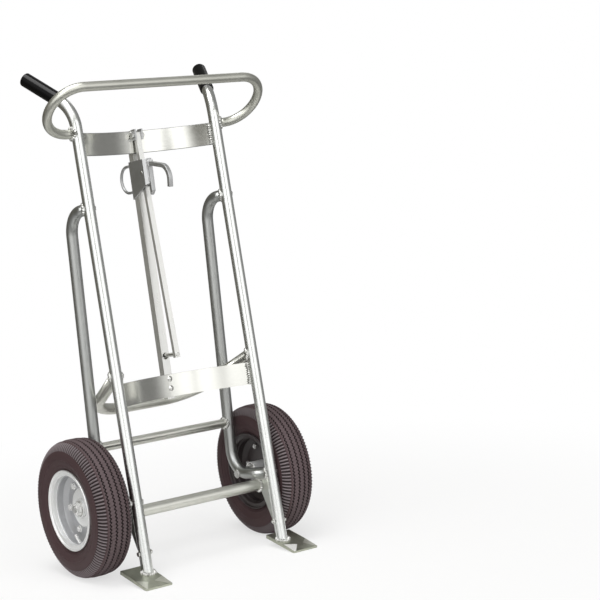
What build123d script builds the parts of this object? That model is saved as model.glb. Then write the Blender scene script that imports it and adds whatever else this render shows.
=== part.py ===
"""Drum hand truck: welded aluminium pipe frame, two pneumatic wheels, bevelled toe plates
and a chime hook that slides on a rail and pushes a hanging lock rod aside.

X runs along the axle line, -Y is the front where the drum stands, +Y the back, +Z is up.
Sizes are in millimetres and degrees. The solids are worked out with Y = 0 where the axes of
the posts meet the floor, and shifted at the end so that the origin is the middle of the
footprint on the floor.
"""
import math
import os

from build123d import *

# Pipe stock
PIPE_OD = 34.0
PIPE_WALL = 3.4
SLIM_PIPE_OD = 27.0
SLIM_PIPE_WALL = 2.8
WELD_GAP = 0.1

# Posts and the handles at their tops
POST_HALF_SPACING = 233.3
POST_LEAN = 8.5
POST_CORNER_ALONG = 1346.0
HANDLE_BEND_RADIUS = 110.0
HANDLE_LENGTH = 186.0
HANDLE_SPLAY = 23.0
HANDLE_RISE = 30.0
GRIP_LENGTH = 127.0
GRIP_WALL = 3.5
GRIP_END = 4.0
GRIP_END_ROUND = 3.0
GRIP_CLEARANCE = 0.1

# Push loop between the posts
LOOP_ALONG = 1276.0
LOOP_BACK = 3.0
LOOP_HEIGHT = 175.0
LOOP_TILT = 43.0
LOOP_HALF_WIDTH = 349.6
LOOP_BEND_RADIUS = 87.0

# Rear runners: each leaves its post, drops behind it and returns to it above the toe
RUNNER_TOP_Y = 272.5
RUNNER_TOP_Z = 1033.0
RUNNER_TOP_RISE = 8.5
RUNNER_TOP_RADIUS = 72.0
RUNNER_BEHIND_AXLE = 44.3
RUNNER_UNDER_AXLE = 9.0
RUNNER_LOW_RISE = 8.5
RUNNER_LOW_RADIUS = 70.0
REAR_CROSS_Z = 351.0
LOWER_CROSS_Y = 102.0
LOWER_CROSS_DROP = 35.0

# Gussets between runner and post
GUSSET_THICKNESS = 6.0
GUSSET_BACK_Y = 118.0
GUSSET_TOE_Z = 10.6

# Cradle straps that the drum leans on, and the brace behind the lower one
STRAP_THICKNESS = 6.0
STRAP_HEIGHT = 66.0
UPPER_STRAP_ALONG = 1246.0
UPPER_STRAP_BOW = 77.0
LOWER_STRAP_ALONG = 524.0
LOWER_STRAP_BOW = 102.0
BRACE_SLOPE = 28.1
BRACE_BACK_Y = 353.9
BRACE_BACK_Z = 435.6
BRACE_BEND_RADIUS = 125.0
BRACE_CORNER_INWARD = 57.4

# Toe plates with their spigots and cross bolts
TOE_PITCH = 10.3
TOE_THICKNESS = 11.0
TOE_WIDTH = 84.0
TOE_OUTWARD = 61.0
TOE_FRONT = 90.0
TOE_BACK = 52.0
TOE_REST = 12.0
TOE_BEVEL_LENGTH = 36.0
TOE_BEVEL_DROP = 2.5
SPIGOT_CLEARANCE = 0.1
SPIGOT_LENGTH = 95.0
TOE_BOLT_ALONG = 80.0
TOE_BOLT_OD = 8.0

# Fasteners
BOLT_CLEARANCE = 0.1
HEX_ACROSS_PER_OD = 1.55
HEX_HEIGHT_PER_OD = 0.65
BOLT_END = 3.0

# Hook rail, its bolts and the lug that the lock rod hangs from
RAIL_SIZE = 25.0
RAIL_WALL = 2.5
RAIL_TAIL = 6.0
RAIL_BOLT_OD = 8.0
RAIL_BOLT_UP = 20.0
RAIL_BOLT_PITCH = 28.0
RAIL_BOLT_HEAD_OD = 17.0
RAIL_BOLT_HEAD = 4.5
PIVOT_OVER_STRAP = 18.0
PIVOT_FORWARD = 16.5
PIVOT_BOLT_OD = 9.5
LUG_THICKNESS = 5.0
LUG_FORWARD = 29.0
LUG_UP = 18.0
LUG_DOWN = 13.0
LUG_SIDE_GAP = 0.6

# Lock rod and its guide pin
ROD_WIDTH = 16.0
ROD_DEPTH = 12.7
ROD_ANGLE = 4.0
ROD_BELOW_PIVOT = 660.0
ROD_ABOVE_PIVOT = 8.0
GUIDE_PIN_OD = 12.0
GUIDE_PIN_ALONG = 651.0
GUIDE_PIN_PROUD = 2.0
GUIDE_PIN_TAIL = 12.0
GUIDE_HOLE_OD = 20.0
GUIDE_HOLE_DROP = 2.3
PIVOT_RUNNING_CLEARANCE = 0.06

# Chime hook slider, seen square to the rail: forward of its front face, down from the pivot
SLIDER_PLATE = 3.2
SLIDER_GAP = 0.4
SLIDER_TOP = 73.0
SLIDER_FRONT = 51.0
SLIDER_FRONT_BOTTOM = 150.0
SLIDER_BACK_BOTTOM = 184.0
SLIDER_PIN_OD = 11.0
SLIDER_PIN_FORWARD = 38.4
SLIDER_PIN_DOWN = 112.0
SLIDER_PIN_PROUD = 1.5
SHANK_WIDTH = 12.7
SHANK_REAR = 55.0
SHANK_DEPTH = 12.5
SHANK_BOTTOM = 180.0
SHANK_SLANT = 11.5
HOOK_BAR = 12.7
HOOK_DOWN = 87.0
HOOK_CORNER_FORWARD = 168.5
HOOK_CORNER_DOWN = 110.3
HOOK_TIP_FORWARD = 158.8
HOOK_TIP_DOWN = 168.1
HOOK_BEND_RADIUS = 40.0
PULL_OD = 8.6
PULL_TOP = 83.0
PULL_HEIGHT = 77.5
PULL_REACH = 79.0

# Wheels: x is measured outward from the middle plane of the wheel
WHEEL_RADIUS = 200.0
WHEEL_POST_GAP = 7.7
AXLE_Y = 192.0
TYRE_HALF_WIDTH = 57.0
TYRE_SHOULDER_X = 44.0
TYRE_SHOULDER_DROP = 9.0
TYRE_WALL = 11.0
TREAD_GROOVES = 4
TREAD_GROOVE_PITCH = 17.0
TREAD_GROOVE_WIDTH = 3.4
TREAD_GROOVE_DEPTH = 4.5
BEAD_RADIUS = 102.5
BEAD_GAP = 0.2
BEAD_THICKNESS = 10.0
RIM_FLANGE_X = 43.5
RIM_FLANGE_RADIUS = 113.0
RIM_LIP = 6.0
RIM_SHEET = 2.5
RIM_DISC_RADIUS = 84.0
RIM_WELL_X = 11.0
RIM_BOLT_CIRCLE = 72.0
RIM_BOLT_COUNT = 6
RIM_BOLT_TURN = 7.0
RIM_BOLT_OD = 10.0
INNER_TUBE_GAP = 3.0
INNER_TUBE_SIDE_GAP = 7.0
INNER_TUBE_FOOT = 5.5
INNER_TUBE_WALL = 2.0
VALVE_OD = 8.0
VALVE_X = 22.0
VALVE_END_RADIUS = 76.0
VALVE_CLEARANCE = 0.3
HUB_OD = 54.0
HUB_BORE = 36.0
HUB_INNER_END = 48.0
HUB_OUTER_END = 16.0
BEARING_OD = 47.0
BEARING_WIDTH = 14.0
BEARING_CLEARANCE = 0.05

# Stub axles
AXLE_OD = 20.0
AXLE_INNER_PROUD = 4.0
AXLE_END = 34.0
COLLAR_OD = 32.0
COLLAR_GAP = 0.3
WASHER_OD = 38.0
WASHER_THICKNESS = 3.0
AXLE_NUT_ACROSS = 30.0
AXLE_NUT_HEIGHT = 10.0

SIDES = {"left": -1, "right": 1}
PIPE_RADIUS = PIPE_OD / 2
WHEEL_HALF_TRACK = POST_HALF_SPACING + PIPE_RADIUS + WHEEL_POST_GAP + TYRE_HALF_WIDTH
RUNNER_LOW_Y = AXLE_Y + RUNNER_BEHIND_AXLE
RUNNER_LOW_Z = WHEEL_RADIUS - RUNNER_UNDER_AXLE
INNER_TUBE_TOP = WHEEL_RADIUS - TYRE_WALL - INNER_TUBE_GAP
INNER_TUBE_HALF_HEIGHT = (INNER_TUBE_TOP - BEAD_RADIUS - INNER_TUBE_FOOT) / 2
INNER_TUBE_HALF_WIDTH = TYRE_HALF_WIDTH - TYRE_WALL - INNER_TUBE_SIDE_GAP
INNER_TUBE_CENTRE = INNER_TUBE_TOP - INNER_TUBE_HALF_HEIGHT
BOTTOM_ALIGN = (Align.CENTER, Align.CENTER, Align.MIN)
TOP_ALIGN = (Align.CENTER, Align.CENTER, Align.MAX)


def rise(angle):
    """Direction in the YZ plane that points up and leans back by an angle."""
    return Vector(0, math.sin(math.radians(angle)), math.cos(math.radians(angle)))


def square_to(angle):
    """Direction in the YZ plane that points back, square to rise(angle)."""
    return Vector(0, math.cos(math.radians(angle)), -math.sin(math.radians(angle)))


def post_point(side, along, back=0.0):
    """Point beside the axis of a post, by its distance from the floor along that axis."""
    return Vector(side * POST_HALF_SPACING, 0, 0) + rise(POST_LEAN) * along + square_to(POST_LEAN) * back


def rod_between(start, end, diameter):
    """Round bar from one point to another."""
    plane = Plane(origin=start, z_dir=(end - start).normalized())
    return plane * Cylinder(diameter / 2, (end - start).length, align=BOTTOM_ALIGN)


def round_bar(path, diameter):
    """Round bar along a path."""
    start = Plane(origin=path @ 0, z_dir=path % 0)
    return sweep(start * Circle(diameter / 2), path=path)


def pipe(path, diameter, wall):
    """Pipe along a path, open at both ends."""
    return round_bar(path, diameter) - round_bar(path, diameter - 2 * wall)


def hexagon(across, height):
    """Hexagonal head or nut standing on the XY plane."""
    return extrude(RegularPolygon(across / 2, 6, major_radius=False), height)


def bolt(plane, shank_od, grip):
    """Hex bolt: the head stands behind the plane, the shank runs along its normal."""
    head_height = HEX_HEIGHT_PER_OD * shank_od
    head = Pos(0, 0, -head_height) * hexagon(HEX_ACROSS_PER_OD * shank_od, head_height)
    length = grip + head_height + BOLT_END
    return plane * (head + Cylinder(shank_od / 2, length, align=BOTTOM_ALIGN))


def nut(plane, shank_od, grip):
    """Hex nut on such a bolt, at the far end of its grip."""
    height = HEX_HEIGHT_PER_OD * shank_od
    ring = hexagon(HEX_ACROSS_PER_OD * shank_od, height)
    ring -= Cylinder(shank_od / 2 + BOLT_CLEARANCE, height, align=BOTTOM_ALIGN)
    return plane * Pos(0, 0, grip) * ring


# Posts
HANDLE_DIRECTION = Vector(
    math.sin(math.radians(HANDLE_SPLAY)) * math.cos(math.radians(HANDLE_RISE)),
    math.cos(math.radians(HANDLE_SPLAY)) * math.cos(math.radians(HANDLE_RISE)),
    math.sin(math.radians(HANDLE_RISE)),
)
TOE_SINE = math.sin(math.radians(TOE_PITCH))
TOE_COSINE = math.cos(math.radians(TOE_PITCH))
TOE_TOP_Z = (TOE_FRONT - TOE_REST) * TOE_SINE + TOE_THICKNESS * TOE_COSINE
SPIGOT_OD = PIPE_OD - 2 * PIPE_WALL - 2 * SPIGOT_CLEARANCE
FAR = 4 * PIPE_OD


def handle_direction(side):
    """Direction of a handle: back, up and splayed outwards."""
    return Vector(side * HANDLE_DIRECTION.X, HANDLE_DIRECTION.Y, HANDLE_DIRECTION.Z)


def post_path(side):
    """Centre line of a post, from below its toe plate to the end of its handle."""
    corner = post_point(side, POST_CORNER_ALONG)
    end = corner + handle_direction(side) * HANDLE_LENGTH
    return FilletPolyline(post_point(side, 0), corner, end, radius=HANDLE_BEND_RADIUS)


def toe_plane(side):
    """Plane on top of a toe plate where the axis of its post meets it."""
    return Plane(
        origin=(side * POST_HALF_SPACING, 0, TOE_TOP_Z), x_dir=(1, 0, 0), z_dir=(0, -TOE_SINE, TOE_COSINE)
    )


def above_toe(side):
    """Block that covers a toe plate and the space under it, with the gap of the weld."""
    return toe_plane(side) * Pos(0, 0, WELD_GAP) * Box(FAR, FAR, FAR, align=TOP_ALIGN)


def toe_bolt_plane(side):
    """Plane on the outer face of a post, looking inwards along its cross bolt."""
    outer_face = post_point(side, TOE_BOLT_ALONG) + Vector(side * PIPE_RADIUS, 0, 0)
    return Plane(origin=outer_face, z_dir=(-side, 0, 0))


def toe_bolt_hole(side):
    """Round space for the cross bolt of a post."""
    reach = Vector(2 * PIPE_OD, 0, 0)
    middle = post_point(side, TOE_BOLT_ALONG)
    return rod_between(middle - reach, middle + reach, TOE_BOLT_OD + 2 * BOLT_CLEARANCE)


def post(side):
    """Post pipe with its handle bend, cut to its toe plate and drilled for the cross bolt."""
    return pipe(post_path(side), PIPE_OD, PIPE_WALL) - above_toe(side) - toe_bolt_hole(side)


def post_space(side):
    """Space that a post takes up, with the gap of a weld around it."""
    return round_bar(post_path(side), PIPE_OD + 2 * WELD_GAP)


def grip(side):
    """Rubber sleeve with a closed, rounded end, pushed over the end of a handle."""
    end = post_path(side) @ 1 + handle_direction(side) * (GRIP_END + GRIP_CLEARANCE)
    plane = Plane(origin=end, z_dir=handle_direction(side) * -1)
    sleeve = Cylinder(PIPE_RADIUS + GRIP_CLEARANCE + GRIP_WALL, GRIP_LENGTH, align=BOTTOM_ALIGN)
    sleeve = fillet(sleeve.edges().sort_by(Axis.Z)[0], GRIP_END_ROUND)
    bore = Cylinder(PIPE_RADIUS + GRIP_CLEARANCE, GRIP_LENGTH, align=BOTTOM_ALIGN)
    return plane * (sleeve - Pos(0, 0, GRIP_END) * bore)


def toe_plate(side):
    """Plate under a post: bevelled in front on top, ground flat below where it meets the floor."""
    middle_x = side * (TOE_OUTWARD - TOE_WIDTH / 2)
    plan = Pos(middle_x, (TOE_BACK - TOE_FRONT) / 2) * Rectangle(TOE_WIDTH, TOE_FRONT + TOE_BACK)
    plate = toe_plane(side) * extrude(plan, -TOE_THICKNESS)
    bevel_edge = Polyline(
        (-TOE_FRONT, 0), (-TOE_FRONT + TOE_BEVEL_LENGTH, 0), (-TOE_FRONT, -TOE_BEVEL_DROP), close=True
    )
    across = toe_plane(side) * Plane(origin=(middle_x, 0, 0), x_dir=(0, 1, 0), z_dir=(1, 0, 0))
    plate -= across * extrude(make_face(bevel_edge), TOE_WIDTH, both=True)
    return plate - Box(FAR * 8, FAR * 8, FAR, align=TOP_ALIGN)


def toe_spigot(side):
    """Round stem that stands on a toe plate inside the foot of its post."""
    stem = rod_between(post_point(side, 0), post_point(side, SPIGOT_LENGTH), SPIGOT_OD)
    return stem - above_toe(side) - toe_bolt_hole(side)


def toe_bolt(side):
    """Cross bolt of a post."""
    return bolt(toe_bolt_plane(side), TOE_BOLT_OD, PIPE_OD)


def toe_nut(side):
    """Nut of the cross bolt of a post."""
    return nut(toe_bolt_plane(side), TOE_BOLT_OD, PIPE_OD)


# Push loop
def handle_loop():
    """Slim pipe loop, welded with both ends to the outer faces of the posts."""
    low = post_point(0, LOOP_ALONG, LOOP_BACK)
    top = low + rise(-LOOP_TILT) * LOOP_HEIGHT
    out = Vector(LOOP_HALF_WIDTH, 0, 0)
    weld = Vector(POST_HALF_SPACING, 0, 0)
    path = FilletPolyline(
        low - weld, low - out, top - out, top + out, low + out, low + weld, radius=LOOP_BEND_RADIUS
    )
    return pipe(path, SLIM_PIPE_OD, SLIM_PIPE_WALL) - post_space(-1) - post_space(1)


# Rear runners, cross tubes and gussets
RUNNER_LEAN = math.degrees(math.atan2(RUNNER_TOP_Y - RUNNER_LOW_Y, RUNNER_TOP_Z - RUNNER_LOW_Z))


def runner_end(side, y, z, forward_rise):
    """Point where a runner that leaves (y, z) forwards and up meets the axis of its post."""
    lean = math.tan(math.radians(POST_LEAN))
    slope = math.tan(math.radians(forward_rise))
    meet_z = (z + slope * y) / (1 + slope * lean)
    return Vector(side * POST_HALF_SPACING, lean * meet_z, meet_z)


def runner_path(side):
    """Centre line of a runner, from the upper to the lower joint on its post."""
    x = side * POST_HALF_SPACING
    return FilletPolyline(
        runner_end(side, RUNNER_TOP_Y, RUNNER_TOP_Z, RUNNER_TOP_RISE),
        (x, RUNNER_TOP_Y, RUNNER_TOP_Z),
        (x, RUNNER_LOW_Y, RUNNER_LOW_Z),
        runner_end(side, RUNNER_LOW_Y, RUNNER_LOW_Z, RUNNER_LOW_RISE),
        radius=[RUNNER_TOP_RADIUS, RUNNER_LOW_RADIUS],
    )


def runner_space(side):
    """Space that a runner takes up, with the gap of a weld around it."""
    return round_bar(runner_path(side), PIPE_OD + 2 * WELD_GAP)


def axle_point(side, outward):
    """Point on an axle, by its distance outward from the middle plane of the wheel."""
    return Vector(side * (WHEEL_HALF_TRACK + outward), AXLE_Y, WHEEL_RADIUS)


AXLE_INNER = POST_HALF_SPACING - PIPE_RADIUS - AXLE_INNER_PROUD - WHEEL_HALF_TRACK


def rear_runner(side):
    """Rear pipe, coped to its post at both ends and drilled for the stub axle."""
    hole = rod_between(axle_point(side, AXLE_INNER), axle_point(side, 0), AXLE_OD + 2 * WELD_GAP)
    return pipe(runner_path(side), PIPE_OD, PIPE_WALL) - post_space(side) - hole


def cross_tube(y, z, diameter, wall):
    """Straight pipe from one side of the frame to the other."""
    reach = Vector(POST_HALF_SPACING, 0, 0)
    middle = Vector(0, y, z)
    return pipe(Line(middle - reach, middle + reach), diameter, wall)


def rear_cross_tube():
    """Slim pipe between the runners."""
    y = RUNNER_LOW_Y + (REAR_CROSS_Z - RUNNER_LOW_Z) * math.tan(math.radians(RUNNER_LEAN))
    return cross_tube(y, REAR_CROSS_Z, SLIM_PIPE_OD, SLIM_PIPE_WALL) - runner_space(-1) - runner_space(1)


def run_height(y):
    """Height of the centre line of the lower runs at a distance behind the posts."""
    return RUNNER_LOW_Z + (RUNNER_LOW_Y - y) * math.tan(math.radians(RUNNER_LOW_RISE))


def gusset(side):
    """Triangular plate in the corner between the lower run of a runner and its post."""
    inner = runner_end(side, RUNNER_LOW_Y, RUNNER_LOW_Z, RUNNER_LOW_RISE)
    toe_y = GUSSET_TOE_Z * math.tan(math.radians(POST_LEAN))
    outline = Polyline(
        (inner.Y, inner.Z), (GUSSET_BACK_Y, run_height(GUSSET_BACK_Y)), (toe_y, GUSSET_TOE_Z), close=True
    )
    plane = Plane(origin=(side * POST_HALF_SPACING, 0, 0), x_dir=(0, 1, 0), z_dir=(1, 0, 0))
    plate = plane * extrude(make_face(outline), GUSSET_THICKNESS / 2, both=True)
    return plate - post_space(side) - runner_space(side)


def lower_cross_tube():
    """Pipe under the lower runs, butted against the gussets."""
    tube = cross_tube(LOWER_CROSS_Y, run_height(LOWER_CROSS_Y) - LOWER_CROSS_DROP, PIPE_OD, PIPE_WALL)
    inside = 2 * (POST_HALF_SPACING - GUSSET_THICKNESS / 2 - WELD_GAP)
    return tube & Box(inside, FAR * 8, FAR * 8)


# Stub axles
COLLAR_START = POST_HALF_SPACING + PIPE_RADIUS + COLLAR_GAP - WHEEL_HALF_TRACK


def axle(side):
    """Stub axle through the bend of a runner."""
    return rod_between(axle_point(side, AXLE_INNER), axle_point(side, AXLE_END), AXLE_OD)


def ring_on_axle(side, start, length, diameter):
    """Plain ring on a stub axle."""
    outer = rod_between(axle_point(side, start), axle_point(side, start + length), diameter)
    return outer - rod_between(
        axle_point(side, start), axle_point(side, start + length), AXLE_OD + 2 * BOLT_CLEARANCE
    )


def axle_collar(side):
    """Distance ring between a runner and its wheel."""
    return ring_on_axle(side, COLLAR_START, -HUB_INNER_END - COLLAR_GAP - COLLAR_START, COLLAR_OD)


def axle_washer(side):
    """Washer outside a wheel."""
    return ring_on_axle(side, HUB_OUTER_END + COLLAR_GAP, WASHER_THICKNESS, WASHER_OD)


def axle_nut(side):
    """Lock nut on the end of a stub axle."""
    start = HUB_OUTER_END + COLLAR_GAP + WASHER_THICKNESS
    plane = Plane(origin=axle_point(side, start), z_dir=(side, 0, 0))
    ring = hexagon(AXLE_NUT_ACROSS, AXLE_NUT_HEIGHT)
    ring -= Cylinder(AXLE_OD / 2 + BOLT_CLEARANCE, AXLE_NUT_HEIGHT, align=BOTTOM_ALIGN)
    return plane * ring


# Hook rail and straps: all stand square to the rail
STRAP_DISTANCE = UPPER_STRAP_ALONG - LOWER_STRAP_ALONG
RAIL_LEAN = POST_LEAN - math.degrees(math.asin((LOWER_STRAP_BOW - UPPER_STRAP_BOW) / STRAP_DISTANCE))
STRAP_PITCH = STRAP_DISTANCE * math.cos(math.radians(POST_LEAN - RAIL_LEAN))
PIVOT_ORIGIN = (
    post_point(0, UPPER_STRAP_ALONG)
    + square_to(RAIL_LEAN) * (UPPER_STRAP_BOW + STRAP_THICKNESS)
    + rise(RAIL_LEAN) * PIVOT_OVER_STRAP
)
RAIL_PLANE = Plane(origin=PIVOT_ORIGIN, x_dir=(1, 0, 0), z_dir=rise(RAIL_LEAN))
UPPER_STRAP_DOWN = PIVOT_OVER_STRAP
LOWER_STRAP_DOWN = PIVOT_OVER_STRAP + STRAP_PITCH
RAIL_TOP_UP = STRAP_HEIGHT / 2 - UPPER_STRAP_DOWN
RAIL_BOTTOM_DOWN = LOWER_STRAP_DOWN + STRAP_HEIGHT / 2 + RAIL_TAIL


def rail_plane(forward, down, x=0.0):
    """Plane square to the rail, by its place before the front face and below the pivot."""
    return RAIL_PLANE * Pos(x, -forward, -down)


def rail_point(forward, down, x=0.0):
    """Point before the front face of the rail and below the pivot."""
    return rail_plane(forward, down, x).position


def strap_radius(bow):
    """Radius of the front of a strap that is bowed back between the axes of the posts."""
    return (POST_HALF_SPACING**2 + bow**2) / (2 * bow)


def strap(along_down, bow):
    """Strap bowed back between the posts, with its back against the front of the rail."""
    radius = strap_radius(bow)
    centre = Pos(0, -radius - STRAP_THICKNESS)
    ring = centre * (Circle(radius + STRAP_THICKNESS) - Circle(radius))
    window = Pos(0, -bow / 2) * Rectangle(2 * POST_HALF_SPACING, bow + 2 * STRAP_THICKNESS)
    band = extrude(ring & window, STRAP_HEIGHT / 2, both=True)
    return rail_plane(0, along_down) * band - post_space(-1) - post_space(1)


LOWER_STRAP_RADIUS = strap_radius(LOWER_STRAP_BOW)
RAIL_BOLT_SEAT = LOWER_STRAP_RADIUS - math.sqrt(LOWER_STRAP_RADIUS**2 - (RAIL_BOLT_HEAD_OD / 2) ** 2)
RAIL_BOLT_GRIP = RAIL_SIZE + STRAP_THICKNESS + RAIL_BOLT_SEAT


def rail_bolt_planes():
    """Planes under the heads on the lower strap, looking back along the bolts of the rail."""
    downs = [LOWER_STRAP_DOWN - RAIL_BOLT_UP + place * RAIL_BOLT_PITCH for place in (0, 1)]
    forward = STRAP_THICKNESS + RAIL_BOLT_SEAT
    return [Plane(origin=rail_point(forward, down), z_dir=square_to(RAIL_LEAN)) for down in downs]


def rail_bolt_holes():
    """Round spaces for the bolts of the rail."""
    reach = 2 * RAIL_SIZE
    hole = Cylinder(RAIL_BOLT_OD / 2 + BOLT_CLEARANCE, 2 * reach)
    return [plane * hole for plane in rail_bolt_planes()]


def upper_cradle_strap():
    """Upper strap."""
    return strap(UPPER_STRAP_DOWN, UPPER_STRAP_BOW)


def lower_cradle_strap():
    """Lower strap, drilled for the bolts of the rail."""
    return strap(LOWER_STRAP_DOWN, LOWER_STRAP_BOW) - rail_bolt_holes()


def hook_rail():
    """Square tube behind both straps, with a wide hole for the guide pin of the lock rod."""
    section = Pos(0, RAIL_SIZE / 2) * (
        Rectangle(RAIL_SIZE, RAIL_SIZE) - Rectangle(RAIL_SIZE - 2 * RAIL_WALL, RAIL_SIZE - 2 * RAIL_WALL)
    )
    tube = rail_plane(0, RAIL_BOTTOM_DOWN) * extrude(section, RAIL_BOTTOM_DOWN + RAIL_TOP_UP)
    guide_down = GUIDE_PIN_ALONG * math.cos(math.radians(ROD_ANGLE)) + GUIDE_HOLE_DROP
    before, behind = rail_point(RAIL_SIZE, guide_down), rail_point(-2 * RAIL_SIZE, guide_down)
    hole = rod_between(before, behind, GUIDE_HOLE_OD)
    return tube - hole - rail_bolt_holes()


def rail_bolts():
    """Round-headed bolts through the lower strap and the rail."""
    dome = (RAIL_BOLT_HEAD**2 + (RAIL_BOLT_HEAD_OD / 2) ** 2) / (2 * RAIL_BOLT_HEAD)
    head = Pos(0, 0, dome - RAIL_BOLT_HEAD) * Sphere(dome) & Box(FAR, FAR, FAR, align=TOP_ALIGN)
    length = RAIL_BOLT_GRIP + HEX_HEIGHT_PER_OD * RAIL_BOLT_OD + BOLT_END
    shank = Cylinder(RAIL_BOLT_OD / 2, length, align=BOTTOM_ALIGN)
    return [plane * (head + shank) for plane in rail_bolt_planes()]


def rail_nuts():
    """Nuts behind the rail."""
    return [nut(plane, RAIL_BOLT_OD, RAIL_BOLT_GRIP) for plane in rail_bolt_planes()]


def pivot_line(reach):
    """Round space along the pivot of the lock rod."""
    start, end = rail_point(PIVOT_FORWARD, 0, -reach), rail_point(PIVOT_FORWARD, 0, reach)
    return rod_between(start, end, PIVOT_BOLT_OD + 2 * BOLT_CLEARANCE)


LUG_INNER_X = ROD_WIDTH / 2 + LUG_SIDE_GAP
LUG_OUTER_X = LUG_INNER_X + LUG_THICKNESS


def pivot_lug():
    """Pair of ears on the front of the upper strap."""
    ear = Box(LUG_THICKNESS, LUG_FORWARD - STRAP_THICKNESS - WELD_GAP, LUG_UP + LUG_DOWN)
    middle = (LUG_FORWARD + STRAP_THICKNESS + WELD_GAP) / 2
    down = (LUG_DOWN - LUG_UP) / 2
    middle_x = LUG_INNER_X + LUG_THICKNESS / 2
    taken = upper_cradle_strap() + pivot_line(FAR)
    return [rail_plane(middle, down, side * middle_x) * ear - taken for side in SIDES.values()]


def pivot_bolt_plane():
    """Plane on the left face of the lug, looking right along the pivot bolt."""
    return Plane(origin=rail_point(PIVOT_FORWARD, 0, -LUG_OUTER_X), z_dir=(1, 0, 0))


# Lock rod
ROD_PLANE = Plane(
    origin=rail_point(PIVOT_FORWARD, 0), x_dir=(1, 0, 0), z_dir=rise(RAIL_LEAN + ROD_ANGLE)
)
GUIDE_PIN_MIDDLE = (ROD_PLANE * Pos(0, 0, -GUIDE_PIN_ALONG)).position


def guide_pin_space(clearance):
    """Round bar along the guide pin, square to the rail."""
    inwards = square_to(RAIL_LEAN)
    start = GUIDE_PIN_MIDDLE - inwards * (ROD_DEPTH / 2 + GUIDE_PIN_PROUD)
    to_face = PIVOT_FORWARD + GUIDE_PIN_ALONG * math.sin(math.radians(ROD_ANGLE))
    end = GUIDE_PIN_MIDDLE + inwards * (to_face + RAIL_SIZE + GUIDE_PIN_TAIL)
    return rod_between(start, end, GUIDE_PIN_OD + 2 * clearance)


def lock_rod():
    """Flat bar that hangs from the lug in front of the rail."""
    length = ROD_BELOW_PIVOT + ROD_ABOVE_PIVOT
    bar = ROD_PLANE * Pos(0, 0, -ROD_BELOW_PIVOT) * Box(ROD_WIDTH, ROD_DEPTH, length, align=BOTTOM_ALIGN)
    bore = rod_between(
        rail_point(PIVOT_FORWARD, 0, -ROD_WIDTH),
        rail_point(PIVOT_FORWARD, 0, ROD_WIDTH),
        PIVOT_BOLT_OD + 2 * PIVOT_RUNNING_CLEARANCE,
    )
    return bar - bore - guide_pin_space(BOLT_CLEARANCE)


# Chime hook slider
SLIDER_INNER_X = RAIL_SIZE / 2 + SLIDER_GAP
SLIDER_OUTER_X = SLIDER_INNER_X + SLIDER_PLATE
SLIDER_BACK = RAIL_SIZE + SLIDER_GAP


def slider_bracket():
    """Folded plate round the rail: back, two sides and two flanges that close on the shank."""
    flange_front = SHANK_REAR + SHANK_DEPTH / 2
    outer = [
        (-SLIDER_OUTER_X, SLIDER_BACK + SLIDER_PLATE),
        (-SLIDER_OUTER_X, -SLIDER_FRONT),
        (-SHANK_WIDTH / 2 - WELD_GAP, -flange_front),
    ]
    turn = SLIDER_PLATE * math.tan(
        math.atan2(SLIDER_OUTER_X - SHANK_WIDTH / 2 - WELD_GAP, flange_front - SLIDER_FRONT) / 2
    )
    flange_slope = (flange_front - SLIDER_FRONT) / (SLIDER_OUTER_X - SHANK_WIDTH / 2 - WELD_GAP)
    inner_front = SLIDER_FRONT - turn
    inner_end = inner_front + flange_slope * (SLIDER_INNER_X - SHANK_WIDTH / 2 - WELD_GAP)
    inner = [
        (-SHANK_WIDTH / 2 - WELD_GAP, -inner_end),
        (-SLIDER_INNER_X, -inner_front),
        (-SLIDER_INNER_X, SLIDER_BACK),
    ]
    half = outer + inner
    other = [(-x, y) for x, y in reversed(half)]
    section = make_face(Polyline(*half, *other, close=True))
    height = SLIDER_BACK_BOTTOM - SLIDER_TOP
    body = rail_plane(0, SLIDER_BACK_BOTTOM) * extrude(section, height)
    back = SLIDER_BACK + SLIDER_PLATE
    slope = (SLIDER_BACK_BOTTOM - SLIDER_FRONT_BOTTOM) / (back + SLIDER_FRONT)
    low_front = SLIDER_FRONT_BOTTOM - slope * (flange_front - SLIDER_FRONT)
    below = Polyline(
        (back, -SLIDER_BACK_BOTTOM),
        (-flange_front, -low_front),
        (-flange_front, -SLIDER_BACK_BOTTOM),
        close=True,
    )
    side_view = RAIL_PLANE * Plane(origin=(0, 0, 0), x_dir=(0, 1, 0), z_dir=(1, 0, 0))
    body -= side_view * extrude(make_face(below), 2 * SLIDER_OUTER_X, both=True)
    return body - slider_pin_space(BOLT_CLEARANCE)


def slider_pin_space(clearance):
    """Round bar across the slider, just in front of the lock rod."""
    reach = SLIDER_OUTER_X + SLIDER_PIN_PROUD
    return rod_between(
        rail_point(SLIDER_PIN_FORWARD, SLIDER_PIN_DOWN, -reach),
        rail_point(SLIDER_PIN_FORWARD, SLIDER_PIN_DOWN, reach),
        SLIDER_PIN_OD + 2 * clearance,
    )


def in_side_view(points):
    """Points given forward and down, placed in the middle plane of the slider."""
    return [rail_point(forward, down) for forward, down in points]


def hook_shank():
    """Bar up the front of the slider with a slanted lower end."""
    front = SHANK_REAR + SHANK_DEPTH
    outline = Polyline(
        (-SHANK_REAR, -SLIDER_TOP),
        (-front, -SLIDER_TOP),
        (-front, -SHANK_BOTTOM + SHANK_SLANT),
        (-SHANK_REAR, -SHANK_BOTTOM),
        close=True,
    )
    side_view = RAIL_PLANE * Plane(origin=(0, 0, 0), x_dir=(0, 1, 0), z_dir=(1, 0, 0))
    return side_view * extrude(make_face(outline), SHANK_WIDTH / 2, both=True)


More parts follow.
